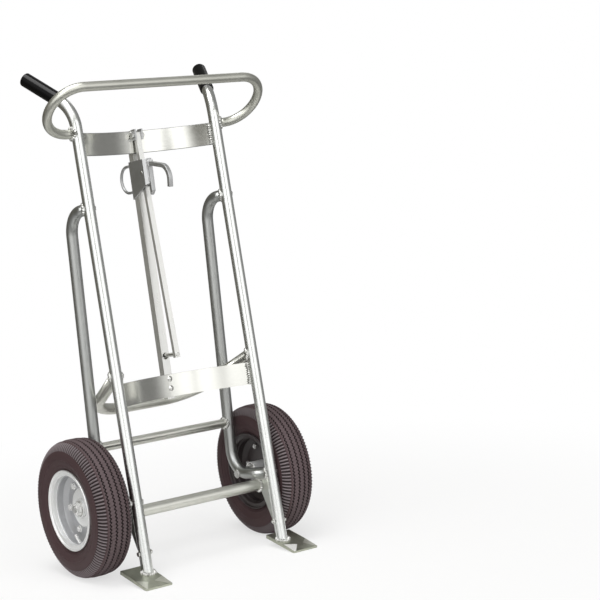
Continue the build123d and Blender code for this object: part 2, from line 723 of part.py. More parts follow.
def chime_hook():
    """Square bar that reaches forward from the shank and turns down over the rim of the drum."""
    start, corner, tip = in_side_view(
        [
            (SHANK_REAR + SHANK_DEPTH / 2, HOOK_DOWN),
            (HOOK_CORNER_FORWARD, HOOK_CORNER_DOWN),
            (HOOK_TIP_FORWARD, HOOK_TIP_DOWN),
        ]
    )
    path = FilletPolyline(start, corner, tip, radius=HOOK_BEND_RADIUS)
    section = Plane(origin=path @ 0, x_dir=(1, 0, 0), z_dir=path % 0) * Rectangle(HOOK_BAR, HOOK_BAR)
    bar = sweep(section, path=path)
    face = rail_plane(SHANK_REAR + SHANK_DEPTH + WELD_GAP, 0)
    return bar - face * Box(FAR, FAR, FAR * 8, align=(Align.CENTER, Align.MIN, Align.CENTER))


def slider_handle():
    """Round bar bent to a U on the back of the slider."""
    start = -SLIDER_BACK - SLIDER_PLATE - WELD_GAP
    bend = PULL_HEIGHT / 2
    straight = start - PULL_REACH + bend
    top_start, top_end, middle, low_end, low_start = in_side_view(
        [
            (start, PULL_TOP),
            (straight, PULL_TOP),
            (straight - bend, PULL_TOP + bend),
            (straight, PULL_TOP + PULL_HEIGHT),
            (start, PULL_TOP + PULL_HEIGHT),
        ]
    )
    path = Wire(
        [
            Edge.make_line(top_start, top_end),
            Edge.make_three_point_arc(top_end, middle, low_end),
            Edge.make_line(low_end, low_start),
        ]
    )
    return round_bar(path, PULL_OD)


# Cradle brace
def cradle_brace():
    """Pipe bent to a hoop behind the lower strap, from post to post past both runners."""
    back = Vector(0, BRACE_BACK_Y, BRACE_BACK_Z)
    behind_posts = back.dot(square_to(POST_LEAN))
    reach = behind_posts / math.cos(math.radians(BRACE_SLOPE - POST_LEAN))
    front = back - square_to(BRACE_SLOPE) * reach
    wide = Vector(POST_HALF_SPACING, 0, 0)
    corner = Vector(POST_HALF_SPACING - BRACE_CORNER_INWARD, 0, 0)
    path = FilletPolyline(front - wide, back - corner, back + corner, front + wide, radius=BRACE_BEND_RADIUS)
    hoop = pipe(path, PIPE_OD, PIPE_WALL)
    for side in SIDES.values():
        hoop = hoop - post_space(side) - runner_space(side)
    return hoop


# Wheels: profiles lie in the XY plane, x outward along the axle and y from the axle outwards
def wheel_place(side):
    """Place of a wheel: its x axis points outward."""
    return Location(axle_point(side, 0), (0, 0, 0 if side > 0 else 180))


def turned(profile):
    """Solid of a profile turned round the axle."""
    return revolve(profile, Axis.X, 360)


def tread_groove(x):
    """Round groove in the crown of the tyre, at a place across it."""
    crown = WHEEL_RADIUS - TYRE_SHOULDER_DROP * (x / TYRE_SHOULDER_X) ** 2
    return turned(Pos(x, crown) * Rectangle(TREAD_GROOVE_WIDTH, 2 * TREAD_GROOVE_DEPTH))


def tyre():
    """Hollow rubber tyre with a grooved crown and bulging side walls."""
    shoulder = WHEEL_RADIUS - TYRE_SHOULDER_DROP
    belly = (shoulder + RIM_FLANGE_RADIUS) / 2 + BEAD_THICKNESS / 2
    bead_x = RIM_FLANGE_X - BEAD_GAP
    bead_y = BEAD_RADIUS + BEAD_GAP

    def half_outline(inset, foot_x, foot_y):
        """Outline from the middle of the crown to the foot of a bead."""
        crown = WHEEL_RADIUS - inset
        shoulder_point = (TYRE_SHOULDER_X - inset / 2, shoulder - inset)
        belly_point = (TYRE_HALF_WIDTH - inset, belly)
        bend_x = (shoulder_point[0] + 2 * belly_point[0]) / 3
        bend_y = (2 * shoulder_point[1] + belly_point[1]) / 3
        crown_mid = (shoulder_point[0] / 2, crown - TYRE_SHOULDER_DROP / 4)
        lower_mid = ((3 * belly_point[0] + foot_x) / 4, (belly + foot_y) / 2)
        return [
            ThreePointArc((0, crown), crown_mid, shoulder_point),
            ThreePointArc(shoulder_point, (bend_x, bend_y), belly_point),
            ThreePointArc(belly_point, lower_mid, (foot_x, foot_y)),
        ]

    foot_y = RIM_FLANGE_RADIUS + RIM_SHEET + BEAD_GAP
    outside = half_outline(0, bead_x, foot_y)
    bead_back_x = bead_x - BEAD_THICKNESS
    inside = half_outline(TYRE_WALL, bead_back_x, foot_y)
    bead = Polyline((bead_x, foot_y), (bead_x, bead_y), (bead_back_x, bead_y), (bead_back_x, foot_y))
    middle = Line((0, WHEEL_RADIUS), (0, WHEEL_RADIUS - TYRE_WALL))
    half = make_face([*outside, bead, *inside, middle])
    outermost = TREAD_GROOVE_PITCH * (TREAD_GROOVES - 1) / 2
    grooves = [tread_groove(number * TREAD_GROOVE_PITCH - outermost) for number in range(TREAD_GROOVES)]
    return turned(half + mirror(half, Plane.YZ)) - grooves


def inner_tube():
    """Air tube with its valve, which stands inwards through the outer rim half."""
    outside = Ellipse(INNER_TUBE_HALF_WIDTH, INNER_TUBE_HALF_HEIGHT)
    inside = Ellipse(INNER_TUBE_HALF_WIDTH - INNER_TUBE_WALL, INNER_TUBE_HALF_HEIGHT - INNER_TUBE_WALL)
    return turned(Pos(0, INNER_TUBE_CENTRE) * (outside - inside)) + valve(0)


def valve(clearance):
    """Valve stem below the axle."""
    aside = VALVE_X / (INNER_TUBE_HALF_WIDTH - INNER_TUBE_WALL / 2)
    lift = (INNER_TUBE_HALF_HEIGHT - INNER_TUBE_WALL / 2) * math.sqrt(1 - aside**2)
    root = Vector(VALVE_X, 0, -INNER_TUBE_CENTRE + lift)
    return rod_between(root, Vector(VALVE_X, 0, -VALVE_END_RADIUS), VALVE_OD + 2 * clearance)


def rim_bolt_points():
    """Places of the rim bolts on their circle."""
    step = 360 / RIM_BOLT_COUNT
    turns = [math.radians(RIM_BOLT_TURN + step * number) for number in range(RIM_BOLT_COUNT)]
    return [(RIM_BOLT_CIRCLE * math.cos(turn), RIM_BOLT_CIRCLE * math.sin(turn)) for turn in turns]


def rim_bolt_planes():
    """Planes on the outer face of the rim discs, looking inwards along the rim bolts."""
    face = RIM_SHEET + WELD_GAP / 2
    return [Plane(origin=(face, y, z), z_dir=(-1, 0, 0)) for y, z in rim_bolt_points()]


RIM_BOLT_GRIP = 2 * RIM_SHEET + WELD_GAP


def rim_half(direction):
    """Pressed half of the split rim: disc, well, bead seat and rolled flange."""
    hub_y = HUB_OD / 2 + WELD_GAP
    face = WELD_GAP / 2
    flange_out = RIM_FLANGE_X + RIM_SHEET
    lip_y = RIM_FLANGE_RADIUS + RIM_SHEET
    seat_y = BEAD_RADIUS - RIM_SHEET
    outline = Polyline(
        (face, hub_y),
        (face, RIM_DISC_RADIUS),
        (RIM_WELL_X, BEAD_RADIUS),
        (RIM_FLANGE_X, BEAD_RADIUS),
        (RIM_FLANGE_X, lip_y),
        (flange_out + RIM_LIP, lip_y),
        (flange_out + RIM_LIP, lip_y - RIM_SHEET),
        (flange_out, lip_y - RIM_SHEET),
        (flange_out, seat_y),
        (RIM_WELL_X + RIM_SHEET / 2, seat_y),
        (face + RIM_SHEET, RIM_DISC_RADIUS - RIM_SHEET / 2),
        (face + RIM_SHEET, hub_y),
        close=True,
    )
    half = turned(make_face(outline))
    if direction < 0:
        half = mirror(half, Plane.YZ)
    holes = [plane * Cylinder(RIM_BOLT_OD / 2 + BOLT_CLEARANCE, FAR) for plane in rim_bolt_planes()]
    return half - holes - valve(VALVE_CLEARANCE)


def hub():
    """Hub barrel with a seat for a bearing at each end."""
    barrel = Polyline(
        (-HUB_INNER_END, BEARING_OD / 2),
        (-HUB_INNER_END, HUB_OD / 2),
        (HUB_OUTER_END, HUB_OD / 2),
        (HUB_OUTER_END, BEARING_OD / 2),
        (HUB_OUTER_END - BEARING_WIDTH, BEARING_OD / 2),
        (HUB_OUTER_END - BEARING_WIDTH, HUB_BORE / 2),
        (-HUB_INNER_END + BEARING_WIDTH, HUB_BORE / 2),
        (-HUB_INNER_END + BEARING_WIDTH, BEARING_OD / 2),
        close=True,
    )
    return turned(make_face(barrel))


def bearings():
    """Bearing in each end of the hub."""
    inner = AXLE_OD / 2 + BEARING_CLEARANCE
    outer = BEARING_OD / 2 - BEARING_CLEARANCE
    starts = (-HUB_INNER_END, HUB_OUTER_END - BEARING_WIDTH)
    middles = [(start + BEARING_WIDTH / 2, (inner + outer) / 2) for start in starts]
    return [turned(Pos(*middle) * Rectangle(BEARING_WIDTH, outer - inner)) for middle in middles]


# Writing the parts
def whole(shape):
    """Solids of a shape, one by one."""
    shapes = shape if isinstance(shape, list) else [shape]
    return [solid for item in shapes for solid in item.solids()]


TOE_FRONT_Y = -TOE_FRONT * TOE_COSINE + TOE_BEVEL_DROP * TOE_SINE
FOOTPRINT_MIDDLE = (AXLE_Y + WHEEL_RADIUS + TOE_FRONT_Y) / 2


def save(name, shape):
    """Write the solids of one piece, in the frame of the finished part."""
    solids = [solid.moved(Location((0, -FOOTPRINT_MIDDLE, 0))) for solid in whole(shape)]
    body = solids[0] if len(solids) == 1 else Compound(children=solids)
    body.label = name
    export_step(body, f"parts/{name}.step")


def save_frame():
    """Write the pieces of the frame."""
    for name, side in SIDES.items():
        save(f"{name}_post", post(side))
        save(f"{name}_grip", grip(side))
        save(f"{name}_rear_runner", rear_runner(side))
        save(f"{name}_gusset", gusset(side))
        save(f"{name}_toe_plate", toe_plate(side))
        save(f"{name}_toe_spigot", toe_spigot(side))
        save(f"{name}_axle", axle(side))
        save(f"{name}_axle_collar", axle_collar(side))
    save("toe_bolts", [toe_bolt(side) for side in SIDES.values()])
    save("toe_nuts", [toe_nut(side) for side in SIDES.values()])
    save("axle_washers", [axle_washer(side) for side in SIDES.values()])
    save("axle_nuts", [axle_nut(side) for side in SIDES.values()])
    save("handle_loop", handle_loop())
    save("rear_cross_tube", rear_cross_tube())
    save("lower_cross_tube", lower_cross_tube())
    save("upper_cradle_strap", upper_cradle_strap())
    save("lower_cradle_strap", lower_cradle_strap())
    save("cradle_brace", cradle_brace())


def save_hook():
    """Write the rail, the lock rod and the slider with its hook."""
    save("hook_rail", hook_rail())
    save("rail_bolts", rail_bolts())
    save("rail_nuts", rail_nuts())
    save("pivot_lug", pivot_lug())
    save("pivot_bolt", bolt(pivot_bolt_plane(), PIVOT_BOLT_OD, 2 * LUG_OUTER_X))
    save("pivot_nut", nut(pivot_bolt_plane(), PIVOT_BOLT_OD, 2 * LUG_OUTER_X))
    save("lock_rod", lock_rod())
    save("guide_pin", guide_pin_space(0))
    save("slider_bracket", slider_bracket())
    save("slider_pin", slider_pin_space(0))
    save("hook_shank", hook_shank())
    save("chime_hook", chime_hook())
    save("slider_handle", slider_handle())


def save_wheels():
    """Write the pieces of both wheels."""
    pieces = {
        "tyre": tyre(),
        "inner_tube": inner_tube(),
        "rim_outer": rim_half(1),
        "rim_inner": rim_half(-1),
        "hub": hub(),
        "bearings": bearings(),
        "rim_bolts": [bolt(plane, RIM_BOLT_OD, RIM_BOLT_GRIP) for plane in rim_bolt_planes()],
        "rim_nuts": [nut(plane, RIM_BOLT_OD, RIM_BOLT_GRIP) for plane in rim_bolt_planes()],
    }
    for name, side in SIDES.items():
        for piece, shape in pieces.items():
            save(f"{name}_{piece}", [wheel_place(side) * solid for solid in whole(shape)])


def main():
    """Write every piece to its own file."""
    os.makedirs("parts", exist_ok=True)
    save_frame()
    save_hook()
    save_wheels()


main()
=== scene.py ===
"""Drum hand truck in bare aluminium: finishes, fine shapes, pale floor, soft light and camera."""

import logging
import math
from collections.abc import Iterable, Mapping, Sequence
from dataclasses import dataclass, field
from enum import Enum
from functools import lru_cache
from typing import Protocol

import bmesh
import bpy
from mathutils import Euler, Matrix, Vector, noise


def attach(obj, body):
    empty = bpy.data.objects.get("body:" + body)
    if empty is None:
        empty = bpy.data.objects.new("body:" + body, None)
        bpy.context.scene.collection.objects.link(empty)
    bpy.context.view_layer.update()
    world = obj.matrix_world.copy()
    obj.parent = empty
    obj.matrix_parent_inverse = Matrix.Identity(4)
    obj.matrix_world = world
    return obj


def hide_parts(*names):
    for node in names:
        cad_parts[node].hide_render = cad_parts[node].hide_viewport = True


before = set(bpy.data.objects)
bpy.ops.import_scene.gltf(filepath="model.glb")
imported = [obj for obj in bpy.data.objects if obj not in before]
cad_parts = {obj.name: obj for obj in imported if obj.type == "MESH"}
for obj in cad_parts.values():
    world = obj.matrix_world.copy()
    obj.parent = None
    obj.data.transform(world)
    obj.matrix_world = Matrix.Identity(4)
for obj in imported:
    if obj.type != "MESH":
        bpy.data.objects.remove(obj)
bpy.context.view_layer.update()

log = logging.getLogger("hand_truck")

MM = 0.001
FULL_TURN = 2 * math.pi
# Names of the mesh marks: painted shade in the tyre's hollows and painted highlight on its crests.
SHADE_MARK, HIGHLIGHT_MARK = "painted_shade", "painted_highlight"

Colour = tuple[float, float, float]
Point = tuple[float, float, float]
Span = tuple[float, float]
Outline = tuple[tuple[float, float], ...]


# Shader maths
class Wire:
    """Output of a shader node that takes part in sums like a number."""

    def __init__(self, recipe: "Recipe", socket: bpy.types.NodeSocket) -> None:
        """Keeps the socket and the recipe it belongs to."""
        self.recipe = recipe
        self.socket = socket

    def math(self, operation: str, *terms: "Wire | float", clamp: bool = False) -> "Wire":
        """Adds a math node over the terms."""
        settings = {"operation": operation, "use_clamp": clamp}
        return self.recipe.make("ShaderNodeMath", settings, dict(enumerate(terms)))

    def __add__(self, other: "Wire | float") -> "Wire":
        """Sum with another wire or number."""
        return self.math("ADD", self, other)

    def __radd__(self, other: float) -> "Wire":
        """Sum with a number on the left."""
        return self.math("ADD", other, self)

    def __sub__(self, other: "Wire | float") -> "Wire":
        """Difference to another wire or number."""
        return self.math("SUBTRACT", self, other)

    def __rsub__(self, other: float) -> "Wire":
        """Number on the left less this wire."""
        return self.math("SUBTRACT", other, self)

    def __mul__(self, other: "Wire | float") -> "Wire":
        """Product with another wire or number."""
        return self.math("MULTIPLY", self, other)

    def __rmul__(self, other: float) -> "Wire":
        """Product with a number on the left."""
        return self.math("MULTIPLY", other, self)

    def clamped(self) -> "Wire":
        """This wire held between 0 and 1."""
        return self.math("ADD", self, 0.0, clamp=True)

    def step(self, low: float, high: float) -> "Wire":
        """Soft step from 0 at low to 1 at high."""
        inputs = {"Value": self, "From Min": low, "From Max": high}
        return self.recipe.make("ShaderNodeMapRange", {"interpolation_type": "SMOOTHSTEP"}, inputs)


NodeValue = Wire | float | Sequence[float]


class Recipe:
    """Node tree that is grown one node at a time."""

    def __init__(self, tree: bpy.types.NodeTree) -> None:
        """Clears the tree."""
        self.tree = tree
        tree.nodes.clear()

    def make(
        self,
        kind: str,
        settings: Mapping[str, object] | None = None,
        inputs: Mapping[int | str, NodeValue] | None = None,
        output: int | str = 0,
    ) -> Wire:
        """Adds one node.

        Args:
            kind: Type name of the node.
            settings: Properties that are set before the inputs.
            inputs: Numbers, colours or wires by socket.
            output: Socket that is handed back.

        Returns:
            The chosen output.
        """
        node = self.tree.nodes.new(kind)
        for key, value in (settings or {}).items():
            setattr(node, key, value)
        for key, value in (inputs or {}).items():
            if isinstance(value, Wire):
                self.tree.links.new(value.socket, node.inputs[key])
            else:
                node.inputs[key].default_value = value
        return Wire(self, node.outputs[output])

    def place(self, scale: Sequence[float] = (1, 1, 1), turn: Sequence[float] = (0, 0, 0)) -> Wire:
        """Object coordinates, turned and then stretched.

        Args:
            scale: Stretch along each axis.
            turn: Angles about each axis in radians.

        Returns:
            The coordinates.
        """
        where = self.make("ShaderNodeTexCoord", output="Object")
        turned = self.make("ShaderNodeMapping", inputs={"Vector": where, "Rotation": turn})
        return self.make("ShaderNodeMapping", inputs={"Vector": turned, "Scale": scale})

    def grain(self, where: Wire, scale: float, detail: float = 3.0, rough: float = 0.55) -> Wire:
        """Noise between 0 and 1."""
        inputs = {"Vector": where, "Scale": scale, "Detail": detail, "Roughness": rough}
        return self.make("ShaderNodeTexNoise", inputs=inputs)

    def mark(self, name: str) -> Wire:
        """Number that the mesh keeps at each of its points under a name."""
        return self.make("ShaderNodeAttribute", {"attribute_name": name}, output="Fac")

    def blend(self, factor: NodeValue, first: NodeValue, second: NodeValue) -> Wire:
        """Colour between two others."""
        inputs = {0: factor, 6: first, 7: second}
        return self.make("ShaderNodeMix", {"data_type": "RGBA"}, inputs, output=2)

    def bump(self, height: Wire, strength: float, distance: float) -> Wire:
        """Normal bent by a height."""
        inputs = {"Height": height, "Strength": strength, "Distance": distance}
        return self.make("ShaderNodeBump", inputs=inputs)

    def surface(self, **inputs: NodeValue) -> None:
        """Principled surface on the output; underscores in the names stand for spaces."""
        named = {key.replace("_", " "): value for key, value in inputs.items()}
        self.end(self.make("ShaderNodeBsdfPrincipled", inputs=named))

    def end(self, shader: Wire, kind: str = "ShaderNodeOutputMaterial") -> None:
        """Ties a shader to the output of the tree."""
        output = self.tree.nodes.new(kind)
        self.tree.links.new(shader.socket, output.inputs["Surface"])


def rgba(colour: Colour) -> tuple[float, float, float, float]:
    """Colour with full alpha."""
    return (*colour, 1.0)


# Finishes
class Grain(Enum):
    """Direction that a metal was drawn or brushed in, as a stretch of its noise."""

    ALONG_X = (2.0, 170.0, 170.0)
    ALONG_Y = (170.0, 2.0, 170.0)
    ALONG_Z = (170.0, 170.0, 2.0)
    EVEN = (150.0, 150.0, 150.0)


class Finish(Protocol):
    """Anything that can set up the nodes of a material."""

    name: str

    def mix(self, recipe: Recipe) -> None:
        """Grows the nodes."""


@dataclass(frozen=True)
class Metal:
    """Bare, brushed or plated metal with streaks, smudges and fine wear."""

    name: str
    dark: Colour
    light: Colour
    grain: Grain = Grain.EVEN
    lean: float = 0.0
    roughness: float = 0.32
    streaks: float = 0.12
    smudges: float = 0.14
    bump: float = 0.05
    metallic: float = 1.0
    smudge_scale: float = 11.0
    speck_scale: float = 900.0
    speck_edge: Span = (0.62, 0.75)
    relief: float = 0.4 * MM

    def mix(self, recipe: Recipe) -> None:
        """Streaks follow the grain; smudges and specks lie across it.

        Args:
            recipe: Node tree of the material.
        """
        streak = recipe.grain(recipe.place(self.grain.value, (self.lean, 0, 0)), 1.0, detail=4.0)
        plain = recipe.place()
        smudge = recipe.grain(plain, self.smudge_scale, detail=4.0, rough=0.6)
        speck = recipe.grain(plain, self.speck_scale, detail=2.0).step(*self.speck_edge)
        tone = (streak * 0.55 + smudge * 0.75 - 0.15 - speck * 0.12).clamped()
        recipe.surface(
            Base_Color=recipe.blend(tone, rgba(self.dark), rgba(self.light)),
            Metallic=self.metallic,
            Roughness=self.roughness + (streak - 0.5) * self.streaks + (smudge - 0.5) * self.smudges,
            Normal=recipe.bump(streak * 0.7 + speck * 0.3, self.bump, self.relief),
        )


@dataclass(frozen=True)
class WeldMetal:
    """Bead metal: bright crests with dull oxide in the hollows."""

    name: str
    dark: Colour
    light: Colour
    roughness: float = 0.34
    bump: float = 0.25
    lump_scale: float = 260.0
    soot_scale: float = 60.0
    soot_edge: Span = (0.52, 0.72)
    relief: float = 0.6 * MM

    def mix(self, recipe: Recipe) -> None:
        """Lumps in colour and height.

        Args:
            recipe: Node tree of the material.
        """
        lumps = recipe.grain(recipe.place(), self.lump_scale)
        soot = recipe.grain(recipe.place(), self.soot_scale).step(*self.soot_edge)
        tone = (lumps + soot * -0.55).clamped()
        recipe.surface(
            Base_Color=recipe.blend(tone, rgba(self.dark), rgba(self.light)),
            Metallic=1.0,
            Roughness=self.roughness + soot * 0.2,
            Normal=recipe.bump(lumps, self.bump, self.relief),
        )


@dataclass(frozen=True)
class Rubber:
    """Moulded rubber with dust and fine flow marks, a painted highlight on the crests and painted shade in
    the hollows.
    """

    name: str
    dark: Colour
    light: Colour
    roughness: float = 0.6
    # Colours of the painted shade in the hollows and of the painted highlight on the crests.
    deep: Colour = (0.008, 0.006, 0.006)
    pale: Colour = (0.24, 0.205, 0.215)
    gloss: float = 0.25
    bump: float = 0.12
    cloud_scale: float = 9.0
    flow_scale: float = 700.0
    relief: float = 0.2 * MM

    def mix(self, recipe: Recipe) -> None:
        """Dust lies in broad clouds over a fine grain.

        Args:
            recipe: Node tree of the material.
        """
        plain = recipe.place()
        cloud = recipe.grain(plain, self.cloud_scale, detail=4.0, rough=0.6)
        flow = recipe.grain(plain, self.flow_scale, detail=2.0)
        dust = (cloud * 0.9 + flow * 0.3 - 0.1).clamped()
        skin = recipe.blend(dust, rgba(self.dark), rgba(self.light))
        # Painted highlight on the crests, flecked by the flow grain; below, painted shade fills the hollows.
        crest = recipe.blend(recipe.mark(HIGHLIGHT_MARK) * (0.7 + flow * 0.6), skin, rgba(self.pale))
        recipe.surface(
            Base_Color=recipe.blend(recipe.mark(SHADE_MARK) * 0.85, crest, rgba(self.deep)),
            Roughness=self.roughness + (cloud - 0.5) * 0.22 + (flow - 0.5) * 0.08,
            Specular_IOR_Level=self.gloss,
            Normal=recipe.bump(flow, self.bump, self.relief),
        )


@dataclass(frozen=True)
class Coating:
    """Smooth dipped vinyl or paint with faint ripples and scuffs."""

    name: str
    colour: Colour
    scuffed: Colour
    roughness: float = 0.16
    gloss: float = 0.22
    bump: float = 0.12
    ripple_scale: float = 55.0
    scuff_scale: float = 240.0
    scuff_edge: Span = (0.58, 0.78)
    smudge_scale: float = 30.0
    relief: float = 1.0 * MM

    def mix(self, recipe: Recipe) -> None:
        """Slow ripples, scuffs and finger smudges.

        Args:
            recipe: Node tree of the material.
        """
        plain = recipe.place()
        ripple = recipe.grain(plain, self.ripple_scale, detail=2.0)
        scuff = recipe.grain(plain, self.scuff_scale, detail=4.0, rough=0.7).step(*self.scuff_edge)
        smudge = recipe.grain(plain, self.smudge_scale)
        recipe.surface(
            Base_Color=recipe.blend(scuff * 0.5, rgba(self.colour), rgba(self.scuffed)),
            Roughness=self.roughness + smudge * 0.1 + scuff * 0.12,
            Specular_IOR_Level=self.gloss,
            Normal=recipe.bump(ripple, self.bump, self.relief),
        )


@lru_cache(maxsize=None)
def material(finish: Finish) -> bpy.types.Material:
    """Material of a finish, made once.

    Args:
        finish: Finish that sets up the nodes.

    Returns:
        The material.
    """
    made = bpy.data.materials.new(finish.name)
    made.use_nodes = True
    finish.mix(Recipe(made.node_tree))
    return made


POST_LEAN = math.radians(8.5)
RAIL_LEAN = math.radians(6.5157)

TUBE = Metal(
    "mill_aluminium_upright", (0.66, 0.675, 0.66), (0.86, 0.872, 0.86), Grain.ALONG_Z, POST_LEAN,
    roughness=0.27, streaks=0.08, smudges=0.08, bump=0.025,
)
# Darker copy of the mill aluminium for the rear runners: a painted shade.
RUNNER_PAINTED_SHADE = Metal(
    "mill_aluminium_runner_painted_shade", (0.4, 0.41, 0.4), (0.54, 0.55, 0.54), Grain.ALONG_Z, POST_LEAN,
    roughness=0.4, streaks=0.08, smudges=0.08,
)
CROSS = Metal(
    "mill_aluminium_cross", (0.59, 0.595, 0.545), (0.83, 0.83, 0.775), Grain.ALONG_X,
    roughness=0.38, streaks=0.08, smudges=0.1,
)
# Darker, warmer copy of the mill aluminium for the handle loop: a painted shade.
LOOP_PAINTED_SHADE = Metal(
    "mill_aluminium_loop_painted_shade", (0.5, 0.505, 0.455), (0.73, 0.73, 0.67), Grain.ALONG_X,
    roughness=0.4, streaks=0.08, smudges=0.1,
)
STRAP = Metal(
    "brushed_strap", (0.61, 0.61, 0.575), (0.78, 0.78, 0.745), Grain.ALONG_X,
    roughness=0.17, streaks=0.06, smudges=0.04, bump=0.02,
)
# Dark finish for the top and bottom edges of the straps: a painted shade.
STRAP_EDGE_SHADE = Metal("strap_edge_painted_shade", (0.2, 0.205, 0.2), (0.34, 0.345, 0.34), Grain.ALONG_X, roughness=0.5)
PLATE = Metal("sawn_plate", (0.4, 0.415, 0.39), (0.62, 0.63, 0.6), Grain.ALONG_Y, roughness=0.42)
TOE = Metal(
    "ground_toe_steel", (0.32, 0.336, 0.27), (0.61, 0.625, 0.53), Grain.ALONG_Y,
    roughness=0.42, streaks=0.2, smudges=0.2, bump=0.1,
)
FACET = Metal(
    "painted_highlight_facet", (0.62, 0.63, 0.55), (0.86, 0.865, 0.79), Grain.ALONG_X,
    roughness=0.42, streaks=0.16, smudges=0.1, bump=0.06,
)
# Near-white facet finish for the inner facet of the right toe: a painted highlight.
GLINT_FACET = Metal(
    "facet_painted_highlight", (0.84, 0.84, 0.81), (0.97, 0.97, 0.95), Grain.ALONG_X,
    roughness=0.4, streaks=0.12, smudges=0.1, bump=0.06, metallic=0.3,
)
ZINC = Metal(
    "zinc_slider", (0.5, 0.505, 0.51), (0.66, 0.665, 0.67), roughness=0.46, streaks=0.1, smudges=0.16
)
RAIL = Metal(
    "zinc_rail", (0.7, 0.7, 0.675), (0.89, 0.89, 0.87), Grain.ALONG_Z, RAIL_LEAN,
    roughness=0.3, metallic=0.78,
)
BRIGHT = Metal(
    "bright_zinc_rim", (0.8, 0.805, 0.805), (0.95, 0.955, 0.955),
    roughness=0.4, streaks=0.06, smudges=0.1, bump=0.008, metallic=0.5,
)
# Grey copy of the rim zinc for the outer rim's dish: a painted shade.
DISH_SHADE = Metal(
    "rim_dish_painted_shade", (0.4, 0.405, 0.42), (0.52, 0.525, 0.54),
    roughness=0.4, streaks=0.06, smudges=0.1, bump=0.008, metallic=0.5,
)
STUD = Metal(
    "bright_zinc_bolt", (0.84, 0.84, 0.83), (0.97, 0.97, 0.96),
    roughness=0.24, streaks=0.06, smudges=0.1, bump=0.008, metallic=0.4,
)
FASTENER = Metal("zinc_fastener", (0.55, 0.55, 0.53), (0.82, 0.82, 0.8), roughness=0.26, bump=0.02)
TURNED = Metal("turned_steel", (0.45, 0.45, 0.44), (0.7, 0.7, 0.69), Grain.ALONG_Y, roughness=0.3)
WELD = WeldMetal("weld_metal", (0.32, 0.32, 0.3), (0.9, 0.9, 0.88))
ZINC_WELD = WeldMetal("zinc_weld_metal", (0.5, 0.5, 0.5), (0.8, 0.8, 0.8), roughness=0.4)
TYRE = Rubber("tyre_rubber", (0.042, 0.024, 0.026), (0.084, 0.049, 0.052))
TUBE_RUBBER = Rubber("tube_rubber", (0.012, 0.012, 0.012), (0.03, 0.03, 0.03), roughness=0.5)
GRIP = Coating("grip_vinyl", (0.003, 0.003, 0.0034), (0.01, 0.01, 0.011), roughness=0.14)
BLACK = Coating("black_rim_paint", (0.042, 0.033, 0.034), (0.1, 0.085, 0.082), roughness=0.3, gloss=0.5)


# Places on the truck, in metres
class Side(Enum):
    """Side of the truck, as seen from the front."""

    LEFT = -1
    RIGHT = 1

    @property
    def prefix(self) -> str:
        """Start of the names of the nodes on this side."""
        return f"{self.name.lower()}_"


POST_X = 0.2333
FOOT_Y = -0.15195
PIPE_R = 0.017
SLIM_R = 0.0135
TOE_TOP = 0.0254
TOE_PITCH = math.radians(10.3)
ACROSS = Vector((1, 0, 0))
POST_UP = Vector((0, math.sin(POST_LEAN), math.cos(POST_LEAN)))
RUN_BACK = Vector((0, math.cos(POST_LEAN), -math.sin(POST_LEAN)))
RAIL_ORIGIN = Vector((0, 0.116727, 1.240779))
RAIL_UP = Vector((0, math.sin(RAIL_LEAN), math.cos(RAIL_LEAN)))
RAIL_BACK = Vector((0, math.cos(RAIL_LEAN), -math.sin(RAIL_LEAN)))
TOE_UP = Vector((0, -math.sin(TOE_PITCH), math.cos(TOE_PITCH)))
TOE_BACK = Vector((0, math.cos(TOE_PITCH), math.sin(TOE_PITCH)))


def post_point(side: Side, along: float) -> Vector:
    """Point on the axis of a post, by its distance from the foot."""
    return Vector((side.value * POST_X, FOOT_Y, 0)) + POST_UP * along


def rail_point(forward: float, down: float, x: float = 0.0) -> Vector:
    """Point before the front face of the rail and below the pivot, in millimetres."""
    return RAIL_ORIGIN + (ACROSS * x - RAIL_BACK * forward - RAIL_UP * down) * MM


# Workshop
SPIN_SEAM = 1e-6
NODE_SEAM = 2e-5
FLAT_TURN = math.radians(0.5)


def add(name: str, data: bpy.types.ID) -> bpy.types.Object:
    """Adds an object to the scene.

    Args:
        name: Name of the object.
        data: Mesh, curve, lamp or camera that it shows.

    Returns:
        The object.
    """
    made = bpy.data.objects.new(name, data)
    bpy.context.scene.collection.objects.link(made)
    return made


def move(mesh: bmesh.types.BMesh, matrix: Matrix) -> None:
    """Moves a whole mesh and keeps its faces outwards where that mirrors it.

    Args:
        mesh: Mesh to move.
        matrix: Move, turn or mirror.
    """
    mesh.transform(matrix)
    if matrix.determinant() < 0:
        bmesh.ops.reverse_faces(mesh, faces=mesh.faces)


def bevel(mesh: bmesh.types.BMesh, places: Sequence[object], width: float, segments: int, kind: str) -> None:
    """Rounds points or edges of a mesh by a width in millimetres."""
    bmesh.ops.bevel(
        mesh, geom=places, offset=width * MM, segments=segments, profile=0.5, affect=kind,
        material=-1, clamp_overlap=True,
    )


def flatten(shown: bpy.types.Object) -> None:
    """Keeps broad faces evenly shaded beside their rounded edges."""
    shown.modifiers.new("flat_faces", "WEIGHTED_NORMAL").keep_sharp = True


